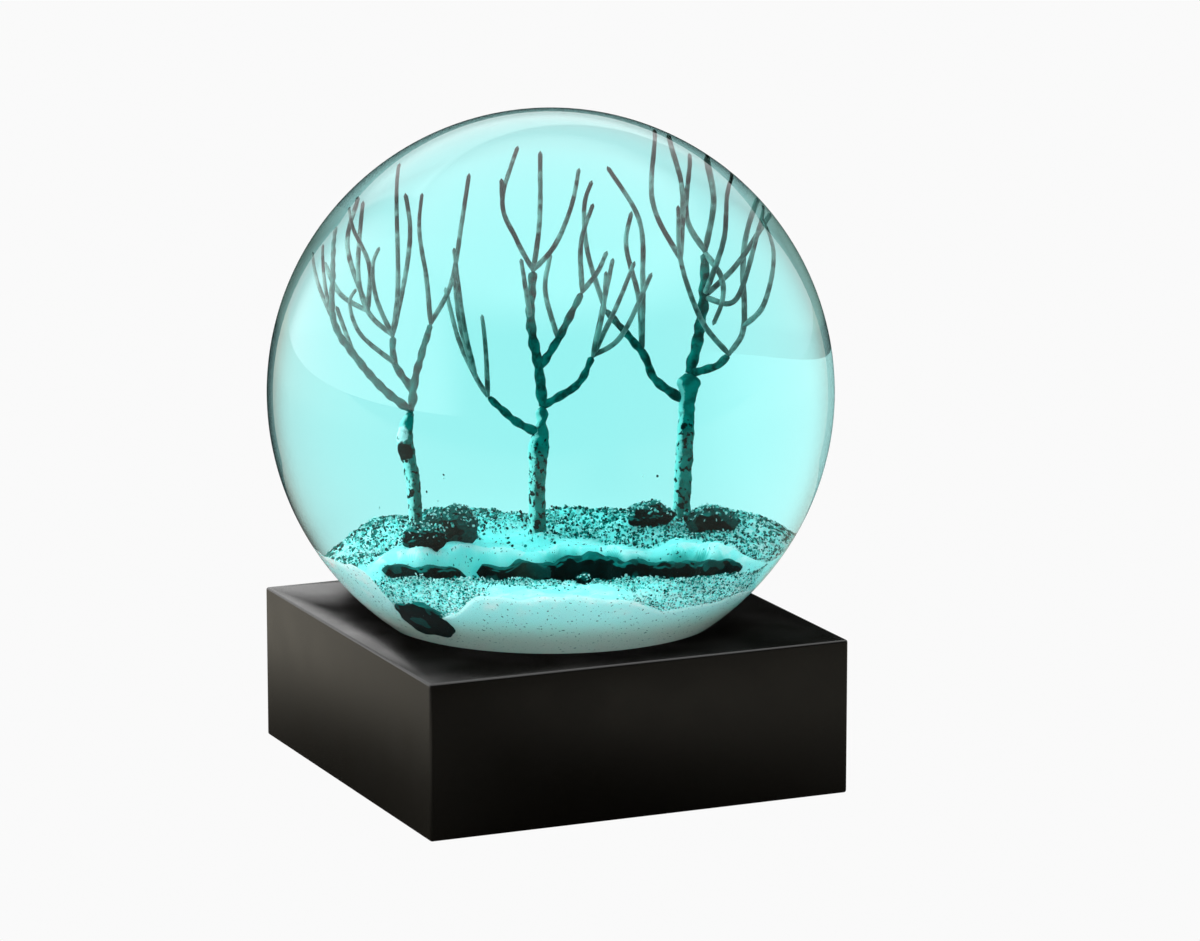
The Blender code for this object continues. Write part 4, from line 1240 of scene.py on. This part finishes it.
def floor():
    """A white floor: plain white to the camera, and to gloss a glow with a painted shadow by the base. Clear
    things don't show it, so that no horizon crosses the ball.
    """
    bm = bmesh.new()
    bmesh.ops.create_grid(bm, x_segments=1, y_segments=1, size=20)
    mesh = bpy.data.meshes.new("floor")
    bm.to_mesh(mesh)
    bm.free()
    look = new_look("floor", Base_Color=colour(0.8, 0.8, 0.8))
    # What gloss sees: a glow, with painted shade by the base and towards the front and right (floor_glow).
    in_gloss = {"Color": colour(1, 0.93, 0.78), "Strength": floor_glow(look)}
    dim = node(look, "ShaderNodeEmission", in_gloss).outputs[0]
    white = node(look, "ShaderNodeEmission", {"Strength": BACKDROP_WHITE}).outputs[0]
    is_glossy = node(look, "ShaderNodeLightPath").outputs["Is Glossy Ray"]
    gloss = math_node(look, "SUBTRACT", is_glossy, lighting(look))
    shown = shader_of(look).outputs[0]
    for share, other in ((gloss, dim), (seen_directly(look), white)):
        shown = node(look, "ShaderNodeMixShader", {0: share, 1: shown, 2: other}).outputs[0]
    look.node_tree.links.new(shown, look.node_tree.nodes["Material Output"].inputs["Surface"])
    mesh.materials.append(look)
    obj = linked("floor", mesh)
    obj.visible_transmission = False


def flag():
    """A black card behind the base, which only gloss sees: the lacquer's top mirrors it and stays black."""
    foot, half_width, height = 0.16 * AHEAD, 0.14, 0.15
    corners = [foot - half_width * RIGHT, foot + half_width * RIGHT]
    corners += [corner + height * UP for corner in reversed(corners)]
    mesh = bpy.data.meshes.new("flag")
    mesh.from_pydata([tuple(corner) for corner in corners], [], [(0, 1, 2, 3)])
    look = new_look("flag", Base_Color=colour(0, 0, 0), Roughness=1.0, Specular_IOR_Level=0.0)
    mesh.materials.append(look)
    obj = linked("flag", mesh)
    obj.visible_camera = obj.visible_diffuse = obj.visible_transmission = obj.visible_shadow = False


def softbox(name, place, size, watts, gloss_only=False, target=(0, 0, 0.06)):
    """A soft lamp, which lights dull surfaces or, if gloss_only, shows in gloss and nowhere else."""
    data = bpy.data.lights.new(name, "AREA")
    data.shape = "RECTANGLE"
    data.size, data.size_y = size
    data.energy = watts
    obj = linked(name, data)
    obj.location = place
    obj.rotation_euler = (Vector(target) - Vector(place)).to_track_quat("-Z", "Y").to_euler()
    obj.visible_camera = False
    obj.visible_glossy = gloss_only
    obj.visible_diffuse = not gloss_only
    obj.visible_transmission = False
    return obj


def shine_only_on(lamp, piece):
    """The lamp lights that piece and nothing else."""
    lit = bpy.data.collections.new(f"lit by {lamp.name}")
    lit.objects.link(piece)
    lamp.light_linking.receiver_collection = lit


def lamps(base, casting):
    """Two soft lamps from behind, a card that shines in the lacquer's top, and a weak fill on the snow."""
    softbox("key", (-1.1, 0.5, 0.6), (0.5, 0.5), 12)
    softbox("rim", (1.0, 0.9, 0.5), (0.6, 0.6), 6)
    card_place, card_target = (-0.015, 0.17, 0.065), (-0.04, 0.03, 0.03)
    card = softbox("card", card_place, (0.1, 0.09), 0.035, gloss_only=True, target=card_target)
    shine_only_on(card, base)
    fill = softbox("fill", (0.0, -1.0, 0.1), (0.5, 0.3), 4.5, target=(0, 0, 0.035))
    shine_only_on(fill, casting)


def keep_out_of_reflections(base):
    """The lacquer mirrors the room only, so that it stays black all round the ball."""
    for obj in bpy.context.scene.objects:
        if obj.type == "MESH" and obj != base and obj.name not in ("floor", "flag"):
            obj.visible_glossy = False


def finish_plain_nodes():
    """Looks for the plain nodes that show as they are, by how their names start."""
    board, silicone = board_look(), silicone_look()
    looks = {
        "felt_pad": felt_look(),
        "bottom_board": board,
        "corner_block": board,
        "bottom_screw": steel_look(),
        "rubber_bung": rubber_look(),
        "neck_seal": silicone,
        "glue_bead": silicone,
    }
    for name, obj in frame["nodes"].items():
        for start, look in looks.items():
            if name.startswith(start):
                for slot in obj.material_slots:
                    slot.material = look


def main():
    bpy.context.scene.view_settings.view_transform = "Standard"
    camera()
    studio()
    floor()
    flag()
    base = lacquered_base(lacquer_look())
    outer_glass = glass_look("clear_glass", GLASS_IOR, EDGE_TINT)
    glass_ball(outer_glass, glass_look("wet_glass", GLASS_IOR / LIQUID_IOR, colour(1, 1, 1)))
    casting = landscape(snow_look())
    lamps(base, casting)
    liquid(liquid_look())
    rocks(rock_look())
    wires, bark = [limb_look(), twig_look()], bark_look()
    for name, tree in TREES.items():
        tree_wires(name, tree, wires)
        tree_bark(name, tree, bark)
    flakes = [
        flake_look("white_flakes", (0.85, 0.96, 0.95), (0.98, 1, 1)),
        flake_look("pale_flakes", (0.2, 0.62, 0.58), (0.45, 0.82, 0.8)),
        flake_look("teal_flakes", (0.0, 0.16, 0.145), (0.0, 0.32, 0.29)),
        flake_look("dark_flakes", (0.0, 0.02, 0.02), (0.01, 0.08, 0.075)),
    ]
    settled_flakes(flakes)
    loose_flakes(flakes)
    finish_plain_nodes()
    keep_out_of_reflections(base)


main()
